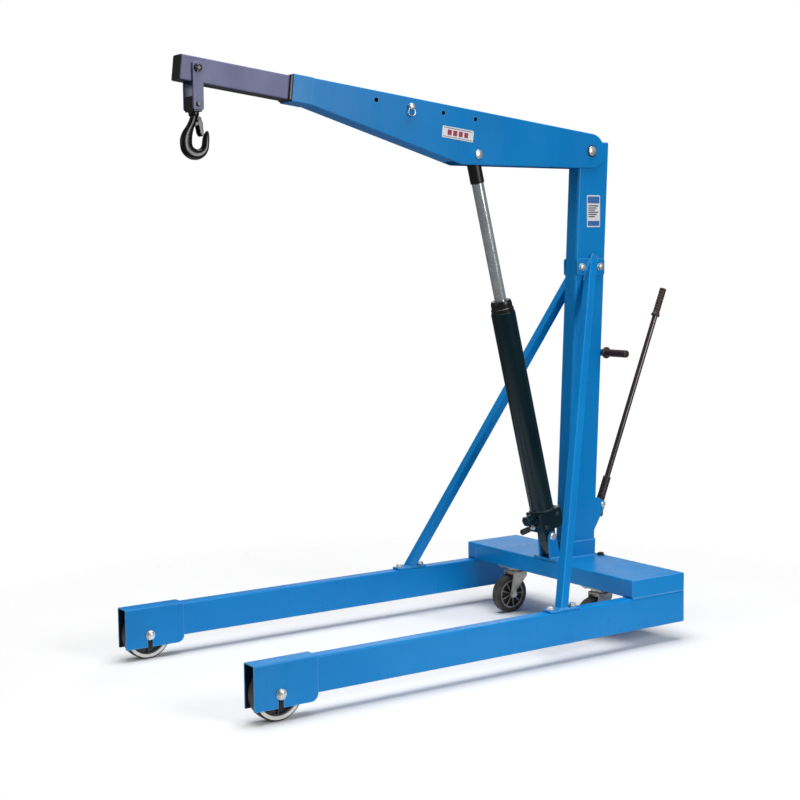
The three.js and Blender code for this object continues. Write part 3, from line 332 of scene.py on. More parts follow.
def strut(outer, inner, origin, u_axis, v_axis, along, start, end):
    """A tube whose ends are cut by planes (point, normal). Returns the shape and its end loops."""
    def cut_loop(loop, plane):
        point, normal = plane
        result = []
        for p in loop:
            base = origin + u_axis * p.x + v_axis * p.y
            result.append(base + along * ((point - base).dot(normal) / along.dot(normal)))
        return result

    rings = [cut_loop(outer, start), cut_loop(outer, end), cut_loop(inner, end),
             cut_loop(inner, start)]
    count = len(outer)
    points = [p for ring in rings for p in ring]
    faces = []
    for r in range(4):
        for k in range(count):
            n, here, after = (k + 1) % count, r * count, (r + 1) % 4 * count
            faces.append((here + k, here + n, after + n, after + k))
    return (points, faces), rings[0], rings[1]


# ---------------------------------------------------------------- Blender objects
def mesh_of(shape, name="scratch"):
    mesh = bpy.data.meshes.new(name)
    mesh.from_pydata([tuple(p) for p in shape[0]], [], shape[1])
    work = bmesh.new()
    work.from_mesh(mesh)
    bmesh.ops.recalc_face_normals(work, faces=work.faces)
    work.to_mesh(mesh)
    work.free()
    return mesh


def carved(shape, *cutters):
    """A shape with others taken out of it."""
    made = []
    for each in (shape, *cutters):
        thing = bpy.data.objects.new("scratch", mesh_of(each))
        bpy.context.scene.collection.objects.link(thing)
        made.append(thing)
    for cutter in made[1:]:
        step = made[0].modifiers.new("cut", "BOOLEAN")
        step.operation, step.solver, step.object = "DIFFERENCE", "EXACT", cutter
    bpy.context.view_layer.update()
    evaluated = made[0].evaluated_get(bpy.context.evaluated_depsgraph_get())
    result = evaluated.to_mesh()
    points = [v.co.copy() for v in result.vertices]
    faces = [tuple(face.vertices) for face in result.polygons]
    evaluated.to_mesh_clear()
    for thing in made:
        mesh = thing.data
        bpy.data.objects.remove(thing)
        bpy.data.meshes.remove(mesh)
    return points, faces


SMOOTH = math.radians(32)


def piece(name, shape, look, body, place=CRANE, replaces=()):
    """Adds a piece of the crane: it rides on a body, may stand for CAD nodes, and has the slot
    that goes with its look."""
    mesh = mesh_of(moved(shape, place), name)
    mesh.materials.append(look)
    mesh.polygons.foreach_set("use_smooth", [True] * len(mesh.polygons))
    mesh.set_sharp_from_angle(angle=SMOOTH)
    thing = bpy.data.objects.new(name, mesh)
    bpy.context.scene.collection.objects.link(thing)
    evener = thing.modifiers.new("even_normals", "WEIGHTED_NORMAL")
    evener.keep_sharp = True
    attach(thing, body)
    if replaces:
        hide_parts(*replaces)
    return thing


# ---------------------------------------------------------------- materials
class Look:
    """A Principled material with short ways to add nodes; textures use object coordinates."""

    def __init__(self, name, color, metallic=0.0, roughness=0.4, **sockets):
        self.material = bpy.data.materials.new(name)
        self.material.use_nodes = True
        self.tree = self.material.node_tree
        self.shader = self.tree.nodes["Principled BSDF"]
        self.shader.inputs["Base Color"].default_value = (*color, 1)
        self.shader.inputs["Metallic"].default_value = metallic
        self.shader.inputs["Roughness"].default_value = roughness
        for socket, value in sockets.items():
            self.shader.inputs[socket.replace("_", " ")].default_value = value
        self.place = self.tree.nodes.new("ShaderNodeTexCoord").outputs["Object"]

    def add(self, kind, settings=(), **inputs):
        node = self.tree.nodes.new("ShaderNode" + kind)
        for key, value in dict(settings).items():
            setattr(node, key, value)
        for key, value in inputs.items():
            socket = node.inputs[int(key[1:]) if key[1:].isdigit() else key.replace("_", " ")]
            if isinstance(value, bpy.types.NodeSocket):
                self.tree.links.new(value, socket)
            else:
                socket.default_value = value
        return node

    def noise(self, scale, detail=4.0, roughness=0.55, stretch=None):
        place = self.place
        if stretch:
            place = self.add("Mapping", Vector=place, Scale=stretch).outputs["Vector"]
        node = self.add("TexNoise", Vector=place, Scale=scale, Detail=detail, Roughness=roughness)
        return node.outputs["Fac"]

    def ramp(self, value, *stops):
        """Maps a value to greys or colours at stops (position, grey or colour)."""
        node = self.add("ValToRGB", Fac=value)
        while len(node.color_ramp.elements) < len(stops):
            node.color_ramp.elements.new(0.5)
        for element, (position, color) in zip(node.color_ramp.elements, stops):
            element.position = position
            element.color = (*color, 1) if isinstance(color, tuple) else (*[color] * 3, 1)
        return node.outputs["Color"]

    def math(self, operation, a, b):
        return self.add("Math", {"operation": operation}, _0=a, _1=b).outputs[0]

    def mix(self, share, a, b):
        node = self.add("Mix", {"data_type": "RGBA"}, Factor=share)
        for socket, value in ((node.inputs[6], a), (node.inputs[7], b)):
            if isinstance(value, bpy.types.NodeSocket):
                self.tree.links.new(value, socket)
            else:
                socket.default_value = (*value, 1)
        return node.outputs[2]

    def edges(self, radius, low, high):
        """1 on convex and concave edges, 0 on flat faces."""
        soft = self.add("Bevel", {"samples": 4}, Radius=radius).outputs["Normal"]
        true = self.add("NewGeometry").outputs["Normal"]
        alike = self.add("VectorMath", {"operation": "DOT_PRODUCT"}, _0=soft, _1=true)
        return self.ramp(alike.outputs["Value"], (low, 1.0), (high, 0.0))

    def wire(self, socket, value):
        self.tree.links.new(value, self.shader.inputs[socket])

    def bump(self, height, distance):
        node = self.add("Bump", Height=height, Distance=distance, Strength=1.0)
        self.wire("Normal", node.outputs["Normal"])


def blend(a, b, share):
    return tuple(x + (y - x) * share for x, y in zip(a, b))


def paint(name, base, light, dark, roughness, worn, peel=0.00005, gloss=0.2, under=1.0,
          edge=0.0035):
    """Enamel with cloudy colour, orange peel, a painted highlight along the edges, chips and specks.
    Below `under` = 1 the faces that look down get painted shade."""
    look = Look(name, base, roughness=roughness, Coat_Weight=gloss * 0.2, Coat_Roughness=0.14,
                Specular_IOR_Level=gloss)
    clouds = look.ramp(look.noise(2.6, 4.0, 0.45), (0.32, blend(base, dark, 0.30)), (0.52, base),
                       (0.72, blend(base, light, 0.10)))
    chips = look.ramp(look.noise(150, 6.0, 0.7), (0.52, 0.0), (0.60, 1.0))
    edges = look.edges(edge, 0.80, 0.985)
    worn_share = look.math("MULTIPLY", edges, look.math("MULTIPLY", chips, 0.55))
    specks = look.ramp(look.noise(55, 8.0, 0.75), (0.70, 0.0), (0.78, 0.35))
    colour = look.mix(specks, clouds, light)
    # painted highlight: the edges are mixed towards a paler, whitened colour
    thin = look.math("MULTIPLY", edges, 0.80)
    colour = look.mix(thin, colour, blend(light, (1, 1, 1), 0.12))
    colour = look.mix(worn_share, colour, worn)
    # painted shade: faces that look down are mixed towards the dark colour, as far as `under` allows
    own_normal = look.add("TexCoord").outputs["Normal"]
    height = look.add("SeparateXYZ", Vector=own_normal).outputs["Z"]
    underside_shade = look.ramp(look.math("MULTIPLY", height, -1.0), (0.45, 0.0), (0.80, 1.0 - under))
    look.wire("Base Color", look.mix(underside_shade, colour, dark))
    smear = look.ramp(look.noise(9, 7.0, 0.65, (1, 1, 0.35)),
                      (0.3, roughness - 0.07), (0.7, roughness + 0.12))
    look.wire("Roughness", smear)
    look.bump(look.noise(420, 2.0, 0.4), peel)
    return look.material


def metal(name, base, dark, roughness, grain, metallic=1.0, bump=0.00002):
    """Bare or plated metal: fine grain, stains and uneven gloss."""
    look = Look(name, base, metallic=metallic, roughness=roughness)
    stains = look.ramp(look.noise(38, 7.0, 0.7), (0.35, dark), (0.62, base))
    look.wire("Base Color", stains)
    streaks = look.noise(260, 3.0, 0.6, grain)
    gloss = look.ramp(streaks, (0.25, roughness * 0.7), (0.75, min(roughness * 1.5, 1)))
    look.wire("Roughness", gloss)
    look.bump(streaks, bump)
    return look.material


def moulded(name, base, light, roughness, grain_scale, depth):
    """Rubber or plastic: dusty, finely grained, paler where it is rubbed."""
    look = Look(name, base, roughness=roughness)
    dust = look.ramp(look.noise(26, 8.0, 0.7), (0.42, base), (0.80, light))
    rubbed = look.math("MULTIPLY", look.edges(0.0016, 0.75, 0.97), 0.55)
    look.wire("Base Color", look.mix(rubbed, dust, light))
    smear = look.ramp(look.noise(60, 5.0), (0.3, roughness - 0.1), (0.7, roughness + 0.12))
    look.wire("Roughness", smear)
    look.bump(look.noise(grain_scale, 5.0, 0.6), depth)
    return look.material


BLUE = paint("blue_enamel", (0.001, 0.225, 0.600), (0.080, 0.470, 0.860), (0.001, 0.140, 0.430),
             0.30, (0.30, 0.50, 0.66), under=0.5)
# painted shade: near-black enamel for the shaded inside faces of the tip housings
INSIDE_SHADE = paint("inside_shade", (0.004, 0.012, 0.030), (0.012, 0.035, 0.080), (0.002, 0.006, 0.015),
               0.55, (0.05, 0.07, 0.10))
GREY = paint("grey_enamel", (0.152, 0.158, 0.305), (0.285, 0.290, 0.470), (0.006, 0.006, 0.012),
             0.38, (0.30, 0.30, 0.36), under=0.0)
BLACK = paint("black_enamel", (0.007, 0.007, 0.008), (0.040, 0.038, 0.044), (0.003, 0.003, 0.004),
              0.28, (0.16, 0.15, 0.15), gloss=0.4, edge=0.0015)
LEVER_BLACK = paint("lever_lacquer", (0.030, 0.020, 0.019), (0.12, 0.10, 0.10), (0.008, 0.006, 0.006),
                    0.22, (0.22, 0.20, 0.20), 0.00002, gloss=0.8, edge=0.001)
BARREL = paint("barrel_enamel", (0.001, 0.016, 0.022), (0.004, 0.040, 0.046), (0.001, 0.008, 0.012),
               0.20, (0.06, 0.11, 0.12), 0.00002, gloss=0.28, edge=0.002)
FORGED = paint("forged_lacquer", (0.004, 0.004, 0.006), (0.016, 0.016, 0.020), (0.002, 0.002, 0.003),
               0.22, (0.12, 0.11, 0.11), 0.00010, gloss=0.35, edge=0.001)
ZINC = metal("zinc_plate", (0.82, 0.84, 0.83), (0.55, 0.56, 0.54), 0.28, (1, 1, 1), metallic=0.72)
FORK_ZINC = metal("fork_zinc", (0.62, 0.58, 0.50), (0.34, 0.31, 0.27), 0.34, (1, 1, 1), metallic=0.55)
CHROME = metal("hard_chrome", (0.84, 0.87, 0.89), (0.68, 0.71, 0.74), 0.17, (1, 1, 0.05), metallic=0.80,
               bump=0.000004)
RUBBER = moulded("grip_rubber", (0.026, 0.009, 0.007), (0.062, 0.032, 0.026), 0.50, 900, 0.00006)
TYRE = moulded("tyre_rubber", (0.026, 0.022, 0.019), (0.100, 0.088, 0.078), 0.60, 700, 0.00008)
# painted shade: near-black look for the tip roller's tread, which sits in the housing's shade
SHADED_TREAD = moulded("roller_tread_shade", (0.020, 0.017, 0.016), (0.070, 0.060, 0.055), 0.55, 700, 0.00008)
WEB = moulded("wheel_web", (0.250, 0.225, 0.190), (0.500, 0.460, 0.410), 0.45, 500, 0.00005)
# painted shade: near-black look for the tip roller's recessed web, standing in for its shadow
SHADED_WEB = moulded("roller_web_shade", (0.020, 0.022, 0.026), (0.080, 0.085, 0.095), 0.50, 500, 0.00005)
NYLON = moulded("pale_nylon", (0.74, 0.73, 0.69), (0.88, 0.87, 0.84), 0.36, 350, 0.00004)
LABEL = moulded("label_white", (0.78, 0.76, 0.78), (0.90, 0.89, 0.90), 0.35, 300, 0.00001)
LABEL_INK = moulded("label_ink", (0.020, 0.022, 0.060), (0.070, 0.075, 0.130), 0.40, 300, 0.00001)
LABEL_BLUE = moulded("label_blue", (0.030, 0.140, 0.420), (0.080, 0.220, 0.520), 0.38, 300, 0.00001)
LABEL_RED = moulded("label_red", (0.30, 0.02, 0.07), (0.42, 0.08, 0.14), 0.40, 300, 0.00001)


# ---------------------------------------------------------------- fasteners, along w
def washer(radius, thick):
    return turned(rounded([(0, 0, 0), (radius, 0, 0.3), (radius, thick, 0.6), (0, thick, 0)], 3), 40)


def domed(radius, thick, crown):
    """A round head with a domed end."""
    rise = [(radius * math.cos(a), thick - crown + crown * math.sin(a))
            for a in (math.pi / 2 * k / 8 for k in range(9))]
    return turned([(0, 0), (radius - 0.4, 0), (radius, 0.5)] + rise, 40)


def hex_head(radius, thick):
    """A hexagon head with a low dome on it."""
    crown = moved(domed(radius * 0.80, thick * 0.30, thick * 0.22), shift(0, 0, thick * 0.72))
    return joined(prism(hexagon(radius), 0, thick * 0.78, 0.7), crown)


def acorn(radius, thick):
    """A domed cap nut."""
    crown = moved(domed(radius * 0.82, thick * 0.55, thick * 0.45), shift(0, 0, thick * 0.45))
    return joined(prism(hexagon(radius), 0, thick * 0.55, 0.7), crown)


def screw(radius, thick, washer_radius):
    """A hexagon head on its washer."""
    return joined(washer(washer_radius, 2), moved(hex_head(radius, thick), shift(0, 0, 2)))


def at_side(shape, x, y=0.0, z=0.0):
    """A fastener whose w axis points out to +X, at (x, y, z)."""
    return moved(moved(shape, X_WISE), shift(x, y, z))


def cross_bolt(radius, grip, washer_radius, washer_thick, head, head_thick, head_shape=hex_head):
    """A bolt along X with a washer and a head at each end."""
    shank = moved(rod(radius, -grip, grip), X_WISE)
    end = joined(at_side(washer(washer_radius, washer_thick), grip),
                 at_side(head_shape(head, head_thick), grip + washer_thick))
    return joined(shank, both_sides(end))


def cross_pin(radius, grip, head, head_thick):
    """A pin along X with a domed head at each end."""
    shank = moved(rod(radius, -grip, grip, sides=40), X_WISE)
    end = at_side(domed(head, head_thick, head_thick * 0.55), grip)
    return joined(shank, both_sides(end))


# ---------------------------------------------------------------- chassis
def leg(side):
    half = LEG_WIDTH / 2
    outer = rectangle(-half, half, LEG_BOTTOM, LEG_TOP, 6, 6)
    inner = rectangle(-half + LEG_WALL, half - LEG_WALL, LEG_BOTTOM + LEG_WALL, LEG_TOP - LEG_WALL, 2.5)
    plug = rectangle(-half + 3, half - 3, LEG_BOTTOM + 3, LEG_TOP - 3, 4)
    tube = y_prism(outer, -LEG_LENGTH, -0.4, 0.7, [inner])
    return moved(joined(tube, y_prism(plug, -5, 0, 0.8)), shift(side * LEG_X, 0, 0))


def tip_housing(side):
    half = LEG_WIDTH / 2 + GAP + HOUSE_WALL
    inner = half - HOUSE_WALL
    section = rounded([
        (-half, HOUSE_BOTTOM, 0), (-inner, HOUSE_BOTTOM, 0), (-inner, LEG_TOP + GAP, 1.2),
        (inner, LEG_TOP + GAP, 1.2), (inner, HOUSE_BOTTOM, 0), (half, HOUSE_BOTTOM, 0),
        (half, HOUSE_TOP, 5), (-half, HOUSE_TOP, 5)], 6)
    shell = y_prism(section, HOUSE_FRONT, HOUSE_REAR, 0.8)
    corner, slot_half, past = 22, 8.3, 9
    low, rear = HOUSE_BOTTOM - past, HOUSE_REAR + past
    waste = arc(HOUSE_REAR - corner, HOUSE_BOTTOM + corner, corner, -90, 0, 10)
    waste += vectors((rear, HOUSE_BOTTOM + corner), (rear, low), (HOUSE_REAR - corner, low))
    slot = vectors((TIP_Y - slot_half, low), (TIP_Y + slot_half, low))
    slot += arc(TIP_Y, TIP_R, slot_half, 0, 180, 12)
    cutters = [x_prism(loop, -half - 20, half + 20, 0.1) for loop in (waste, slot)]
    return moved(carved(shell, *cutters), shift(side * LEG_X, 0, 0))


def shade_inside(thing, middle_x, half, look):
    """Gives the faces below the legs' top and near middle_x a look of their own: a dark look that paints
    shade.
    """
    thing.data.materials.append(look)
    for face in thing.data.polygons:
        if abs(face.center.x - middle_x) < half and face.center.z < (LEG_TOP + 1) * MM:
            face.material_index = 1


def hoop(inner, outer, half, radius, outer_radius, steps):
    """A wheel's ring about X, with its edges rounded."""
    section = [(inner, -half, radius), (outer, -half, outer_radius), (outer, half, outer_radius),
               (inner, half, radius)]
    return moved(turned(rounded(section, steps), 96), X_WISE)


def ribbed_web(hub, hub_half, rim, rib_half, count, bore):
    """The middle of a wheel: a web with ribs and a hub, about X."""
    web_half = 4
    hub_shape = turned(rounded([(bore, -hub_half, 0.5), (hub, -hub_half, 1.2), (hub, hub_half, 1.2),
                                (bore, hub_half, 0.5)], 3), 48)
    web = turned(rounded([(hub - 1, -web_half, 0), (rim + 1, -web_half, 0), (rim + 1, web_half, 0),
                          (hub - 1, web_half, 0)], 2), 72)
    ring = turned(rounded([(rim - 5, -rib_half, 0.8), (rim + 0.5, -rib_half, 0.3),
                           (rim + 0.5, rib_half, 0.3), (rim - 5, rib_half, 0.8)], 3), 72)
    rib = prism(rectangle(hub - 1, rim - 3, -1.8, 1.8, 0.3, 2), -rib_half + 1, rib_half - 1, 0.6)
    ribs = [moved(rib, Matrix.Rotation(TAU * k / count, 4, "Z")) for k in range(count)]
    return moved(joined(hub_shape, web, ring, *ribs), X_WISE)


def caster_plate():
    plate = prism(rectangle(-50, 50, -42, 42, 8), LEG_TOP - 5, LEG_TOP, 0.8)
    race = turned(rounded([(0, 141, 0), (27, 141, 1), (31, 145, 2), (31, 149, 2), (28, 153, 0.5),
                           (0, 153, 0)], 4), 64)
    bolts = [moved(hex_head(7, 5), shift(x, y, LEG_TOP - 10)) for x in (-38, 38) for y in (-30, 30)]
    return joined(plate, race, *bolts)


def caster_fork():
    top, axle = 140.6, CASTER_R
    cheek = rounded([(27, top, 3), (-31, top, 3), (-31, top - 16, 8),
                     (-CASTER_TRAIL - 11, axle + 12, 20), (-CASTER_TRAIL - 11, axle - 12, 11),
                     (-CASTER_TRAIL + 11, axle - 12, 11), (-CASTER_TRAIL + 12, axle + 14, 12),
                     (27, top - 20, 10)], 6)
    crown = turned(rounded([(0, top - 6, 0), (33, top - 6, 1), (34, top - 3, 1.5), (29, top, 1),
                            (0, top, 0)], 3), 56)
    fold = prism(rectangle(-25.5, 25.5, -30, 26, 6), top - 6, top - 1, 1.4)
    return joined(both_sides(x_prism(cheek, 21.5, 25.5, 1.0)), crown, fold)


def mast_rear(z):
    """The y of the mast's rear face at a height."""
    return MAST_REAR[0] + (z - MAST_REAR[1]) * math.tan(MAST_LEAN)


def leaning_tube(width, depth, wall, radius, z0, z1):
    """A tube along the mast, cut level at two heights."""
    origin = Vector((0, mast_rear(z0) - MAST_DEPTH / 2 / math.cos(MAST_LEAN), z0))
    outer = rectangle(-width / 2, width / 2, -depth / 2, depth / 2, radius, 7)
    inner = rectangle(-width / 2 + wall, width / 2 - wall, -depth / 2 + wall, depth / 2 - wall,
                      max(radius - wall, 1), 7)
    lean_y = Vector((0, math.cos(MAST_LEAN), -math.sin(MAST_LEAN)))
    along = Vector((0, math.sin(MAST_LEAN), math.cos(MAST_LEAN)))
    return strut(outer, inner, origin, AXIS_X, lean_y, along,
                 (Vector((0, 0, z0)), AXIS_Z), (Vector((0, 0, z1)), AXIS_Z))


def mast():
    tube, _, top_loop = leaning_tube(MAST_WIDTH, MAST_DEPTH, 4, 8, BOX_TOP + GAP, MAST_TOP - 3)
    outline = inset([p.xy for p in top_loop], 0.6)
    return joined(tube, prism(outline, MAST_TOP - 5, MAST_TOP, 2.0))


def mast_sleeve():
    """The collar around the mast's foot, with a bead of weld below and above it."""
    foot, height = BOX_TOP + GAP, 52
    sleeve, foot_loop, top_loop = leaning_tube(
        MAST_WIDTH + 8.8, MAST_DEPTH + 8.8, 4, 12, foot, foot + height)
    _, _, mast_loop = leaning_tube(MAST_WIDTH, MAST_DEPTH, 4, 8, foot, foot + height + 0.6)
    ledge = [p.lerp(q, 0.5) for p, q in zip(top_loop, mast_loop)]
    return joined(sleeve, bead(foot_loop, 2.8), bead(ledge, 2.6))


def brace(side):
    inner_x = MAST_WIDTH / 2 + GAP
    outer_x = inner_x + BRACE_PLATE
    foot_z = LEG_TOP + GAP + BRACE_PLATE
    top = Vector((outer_x, *BRACE_TOP))
    along = (Vector((LEG_X, BRACE_FOOT_Y, foot_z)) - top).normalized()
    across_x = (AXIS_X - along * along.x).normalized()
    half, inner_half = BRACE_SIDE / 2, BRACE_SIDE / 2 - 2.5
    tube, top_loop, foot_loop = strut(
        rectangle(-half, half, -half, half, 4, 6),
        rectangle(-inner_half, inner_half, -inner_half, inner_half, 1.5, 6),
        top, across_x, along.cross(across_x), along,
        (Vector((outer_x, 0, 0)), AXIS_X), (Vector((0, 0, foot_z)), AXIS_Z))
    top_plate = x_prism(rectangle(-106, 11, BRACE_BOLT_Z - 27, BRACE_BOLT_Z + 27, 7),
                        inner_x, outer_x, 0.9)
    foot_plate = prism(rectangle(LEG_X - 20, LEG_X + 20, BRACE_FOOT_Y - 58, BRACE_FOOT_Y + 58, 5),
                       LEG_TOP + GAP, foot_z, 0.9)
    return on_side(joined(tube, top_plate, foot_plate, bead(top_loop), bead(foot_loop)), side)


def ram_bracket():
    plate_top = BOX_TOP + GAP + 8
    y, z = RAM_FOOT
    front, rear = y - 9.5, y + 34
    plate = prism(rectangle(-58, 58, -BOX_DEPTH, y + 48, 4), BOX_TOP + GAP, plate_top, 1.0)
    ear = vectors((front, plate_top - 1), (rear, plate_top - 1)) + arc(y, z, 16, 0, 180, 20)
    feet = [bead(vectors((x, front, plate_top), (x, rear, plate_top)), 2.4, False) for x in (-30, 30)]
    return joined(plate, both_sides(x_prism(ear, 21, 29, 1.2)), *feet)


def lever_bracket():
    low, high = 286, 402
    low_y, high_y = mast_rear(low) + GAP, mast_rear(high) + GAP
    cheek = vectors((low_y, low)) + arc(*LEVER_PIVOT, 13, -20, 80, 12)
    cheek += vectors((high_y + 14, high), (high_y, high))
    web = vectors((low_y, low), (low_y + 4, low), (high_y + 4, high), (high_y, high))
    seam = bead(vectors((18.5, low_y + 0.5, low), (18.5, high_y + 0.5, high)), 1.8, False)
    return joined(both_sides(x_prism(cheek, 13, 18, 1.0)), x_prism(web, -14, 14, 0.5),
                  both_sides(seam))


def push_bar():
    y, z = PUSH_BAR
    radius, half = 9, 127
    bar = rod(radius, -half, half, 1)
    saddle = rectangle(mast_rear(z) + 1.2, y + 6, z - radius - 2, z + radius + 2, 3)
    return joined(at_side(bar, 0, y, z), x_prism(saddle, -18, 18, 1.2))


def hand_grip(start, end, radius, flange, grooves):
    """A moulded grip about w: a flange, a waist and rows of grooves."""
    profile = [(radius * 0.6, start), (flange - 1, start), (flange, start + 1), (flange, start + 4),
               (flange - 1, start + 5), (radius + 1.5, start + 7)]
    span = (end - 8) - (start + 12)
    pitch = span / grooves
    for k in range(grooves):
        w = start + 12 + span * k / grooves
        profile += [(radius, w), (radius, w + pitch * 0.55), (radius - 0.9, w + pitch * 0.65),
                    (radius - 0.9, w + pitch * 0.9)]
    profile += [(radius, end - 7), (radius, end - 3), (radius - 1, end - 1), (radius - 3.5, end),
                (0, end), (0, start + 10), (radius * 0.6, start + 10)]
    return turned(profile, 40)


def base_box():
    """The cross beam: a span, two ends and the seams between them."""
    section = rectangle(-BOX_DEPTH, 0, LEG_TOP + GAP, BOX_TOP, 5, 6)
    span = x_prism(section, -LEG_X + 22.2, LEG_X - 22.2, 0.8)
    end = x_prism(section, LEG_X - 21.6, LEG_X + 22, 1.3)
    z = LEG_TOP + 0.3
    seams = [both_sides(bead(vectors((x, -BOX_DEPTH + 2, z), (x, -2, z)), 1.7, False))
             for x in (LEG_X + 22, LEG_X - 22.5)]
    return joined(span, both_sides(end), *seams)


def build_leg(name, side):
    piece(f"leg_tube_{name}", leg(side), BLUE, "chassis", replaces=[f"leg_{name}"])
    shell = piece(f"tip_shell_{name}", tip_housing(side), BLUE, "chassis",
                  replaces=[f"tip_housing_{name}"])
    # painted shade: the housing's inner faces take the near-black inside look
    shade_inside(shell, side * LEG_X * MM, (LEG_WIDTH / 2 + GAP + 0.3) * MM, INSIDE_SHADE)
    axle = CRANE @ shift(side * LEG_X, TIP_Y, TIP_R)
    roller = f"tip_roller_{name}"
    piece(f"tip_bolt_{name}", cross_bolt(8, 28.1, 15, 3, 13.5, 9, acorn), ZINC, "chassis", axle,
          [f"tip_axle_{name}"])
    piece(f"tip_ring_{name}", hoop(61, 71, TIP_HALF + 0.3, 1.4, 1.4, 4), NYLON, roller, axle, [roller])
    # painted shade: the band and web get the shaded looks, while the ring keeps the pale nylon
    piece(f"tip_band_{name}", hoop(70.5, TIP_R, TIP_HALF, 0.5, 4, 6), SHADED_TREAD, roller, axle)
    piece(f"tip_web_{name}", ribbed_web(20, 16, 62, 12, 8, 8.3), SHADED_WEB, roller, axle)


def build_caster(name, side):
    swivel = CRANE @ shift(side * CASTER_X, CASTER_Y, 0)
    fork, wheel = f"caster_fork_{name}", f"caster_wheel_{name}"
    piece(f"caster_top_{name}", caster_plate(), FORK_ZINC, "chassis", swivel,
          [f"caster_plate_{name}"])
    piece(f"caster_yoke_{name}", caster_fork(), FORK_ZINC, fork, swivel, [fork])
    axle = swivel @ shift(0, -CASTER_TRAIL, CASTER_R)
    piece(f"caster_bolt_{name}", cross_bolt(5, 25.9, 11, 1.5, 9, 6), ZINC, fork, axle,
          [f"caster_axle_{name}"])
    tyre = rounded([(47, -14, 1), (50, -CASTER_HALF, 3), (CASTER_R, -CASTER_HALF, 7),
                    (CASTER_R, CASTER_HALF, 7), (50, CASTER_HALF, 3), (47, 14, 1)], 6)
    piece(f"caster_tyre_{name}", moved(turned(tyre, 96), X_WISE), TYRE, wheel, axle, [wheel])
    spokes = piece(f"caster_web_{name}", ribbed_web(14, 20, 47.5, 15, 9, 5.3), WEB, wheel, axle)
    # painted shade: faces near the wheel's middle plane, the web between the ribs, take the dark tyre
    # look
    shade_inside(spokes, side * CASTER_X * MM, 5 * MM, TYRE)


def build_brace(name, side):
    piece(f"brace_bar_{name}", brace(side), BLUE, "chassis", replaces=[f"brace_{name}"])
    for where, offset in (("front", -FOOT_BOLT_OFFSET), ("rear", FOOT_BOLT_OFFSET)):
        seat = LEG_TOP + 2 * GAP + BRACE_PLATE
        place = CRANE @ shift(side * LEG_X, BRACE_FOOT_Y + offset, seat)
        piece(f"brace_seat_bolt_{name}_{where}", screw(11, 8.2, 13), ZINC, "chassis", place,
              [f"brace_foot_bolt_{name}_{where}"])


def build_chassis():
    for name, side in SIDES:
        build_leg(name, side)
        build_caster(name, side)
        build_brace(name, side)
        grip = on_side(moved(hand_grip(34, 135, 12.2, 19, 9), X_WISE), side)
        piece(f"hand_grip_{name}", grip, RUBBER, "chassis", CRANE @ shift(0, *PUSH_BAR),
              [f"push_grip_{name}"])
    piece("cross_beam", base_box(), BLUE, "chassis", replaces=["base_box"])
    piece("mast_tube", mast(), BLUE, "chassis", replaces=["mast"])
    piece("mast_sleeve", mast_sleeve(), BLUE, "chassis", replaces=["mast_foot_collar"])
    for where, y in BRACE_BOLT_YS:
        piece(f"brace_head_bolt_{where}", cross_bolt(6, 34.8, 13, 2, 11, 8), ZINC, "chassis",
              CRANE @ shift(0, y, BRACE_BOLT_Z), [f"brace_bolt_{where}"])
    piece("ram_clevis", ram_bracket(), BLUE, "chassis", replaces=["ram_bracket"])
    piece("ram_foot_pin", cross_pin(10, 29.4, 13, 6), ZINC, "chassis",
          frame_at(middle("ram_lower_pin")), ["ram_lower_pin"])
    piece("lever_clevis", lever_bracket(), BLUE, "chassis", replaces=["lever_bracket"])
    piece("lever_pin", cross_pin(6, 18.4, 9, 4), ZINC, "chassis",
          frame_at(middle("lever_pivot_pin")), ["lever_pivot_pin"])
    piece("push_handle_bar", push_bar(), BLUE, "chassis", replaces=["push_bar"])
    piece("boom_pin", cross_pin(12, 34.4, 15.5, 7.5), ZINC, "chassis",
          frame_at(middle("boom_pivot_pin")), ["boom_pivot_pin"])
    rings = both_sides(at_side(washer(19, 1.6), BOOM_HALF + GAP))
    piece("boom_pin_washers", rings, BLACK, "boom", BOOM)
    for name, x in (("right", -46), ("left", 46)):
        piece(f"mast_foot_bolt_{name}", screw(11, 8, 14), BLACK, "chassis",
              CRANE @ shift(x, -16, BOX_TOP))


# ---------------------------------------------------------------- boom
def boom_shell():
    start = math.radians(-90) + BOOM_RISE
    heel = (BOOM_TOP * math.cos(start), BOOM_TOP * math.sin(start))
    outline = rounded([(BOOM_FRONT, BOOM_TOP, 0), (BOOM_FRONT, COLLAR_BOTTOM, 0),
                       (COLLAR_REAR, COLLAR_BOTTOM, 30), (*KINK, 24), (*heel, 0), (0, BOOM_TOP, 0)], 6)
    outline = outline[:-2] + arc(0, 0, BOOM_TOP, math.degrees(start), 90, 28)
    body = x_prism(outline, -BOOM_HALF, BOOM_HALF, 3.2, steps=4)
    slope = (COLLAR_BOTTOM - KINK[1]) / (COLLAR_REAR - KINK[0])
    floor_start = KINK[0] - 35
    floor_z = KINK[1] + (floor_start - KINK[0]) * slope + BOOM_PLATE
    low, high = COLLAR_BOTTOM + BOOM_PLATE, BOOM_TOP - BOOM_PLATE
    inside = vectors(
        (-60, high), (BOOM_FRONT - 20, high), (BOOM_FRONT - 20, low), (COLLAR_REAR, low),
        (floor_start, floor_z), (floor_start, -200), (100, -200), (100, 100), (-60, 100))
    room = x_prism(inside, -BOOM_HALF + 5, BOOM_HALF - 5, 0.1)
    holes = [x_prism(circle(y, LOCK_Z, LOCK_R, 32), -BOOM_HALF - 9, BOOM_HALF + 9, 0.1)
             for y in LOCK_HOLES]
    return carved(body, room, *holes)


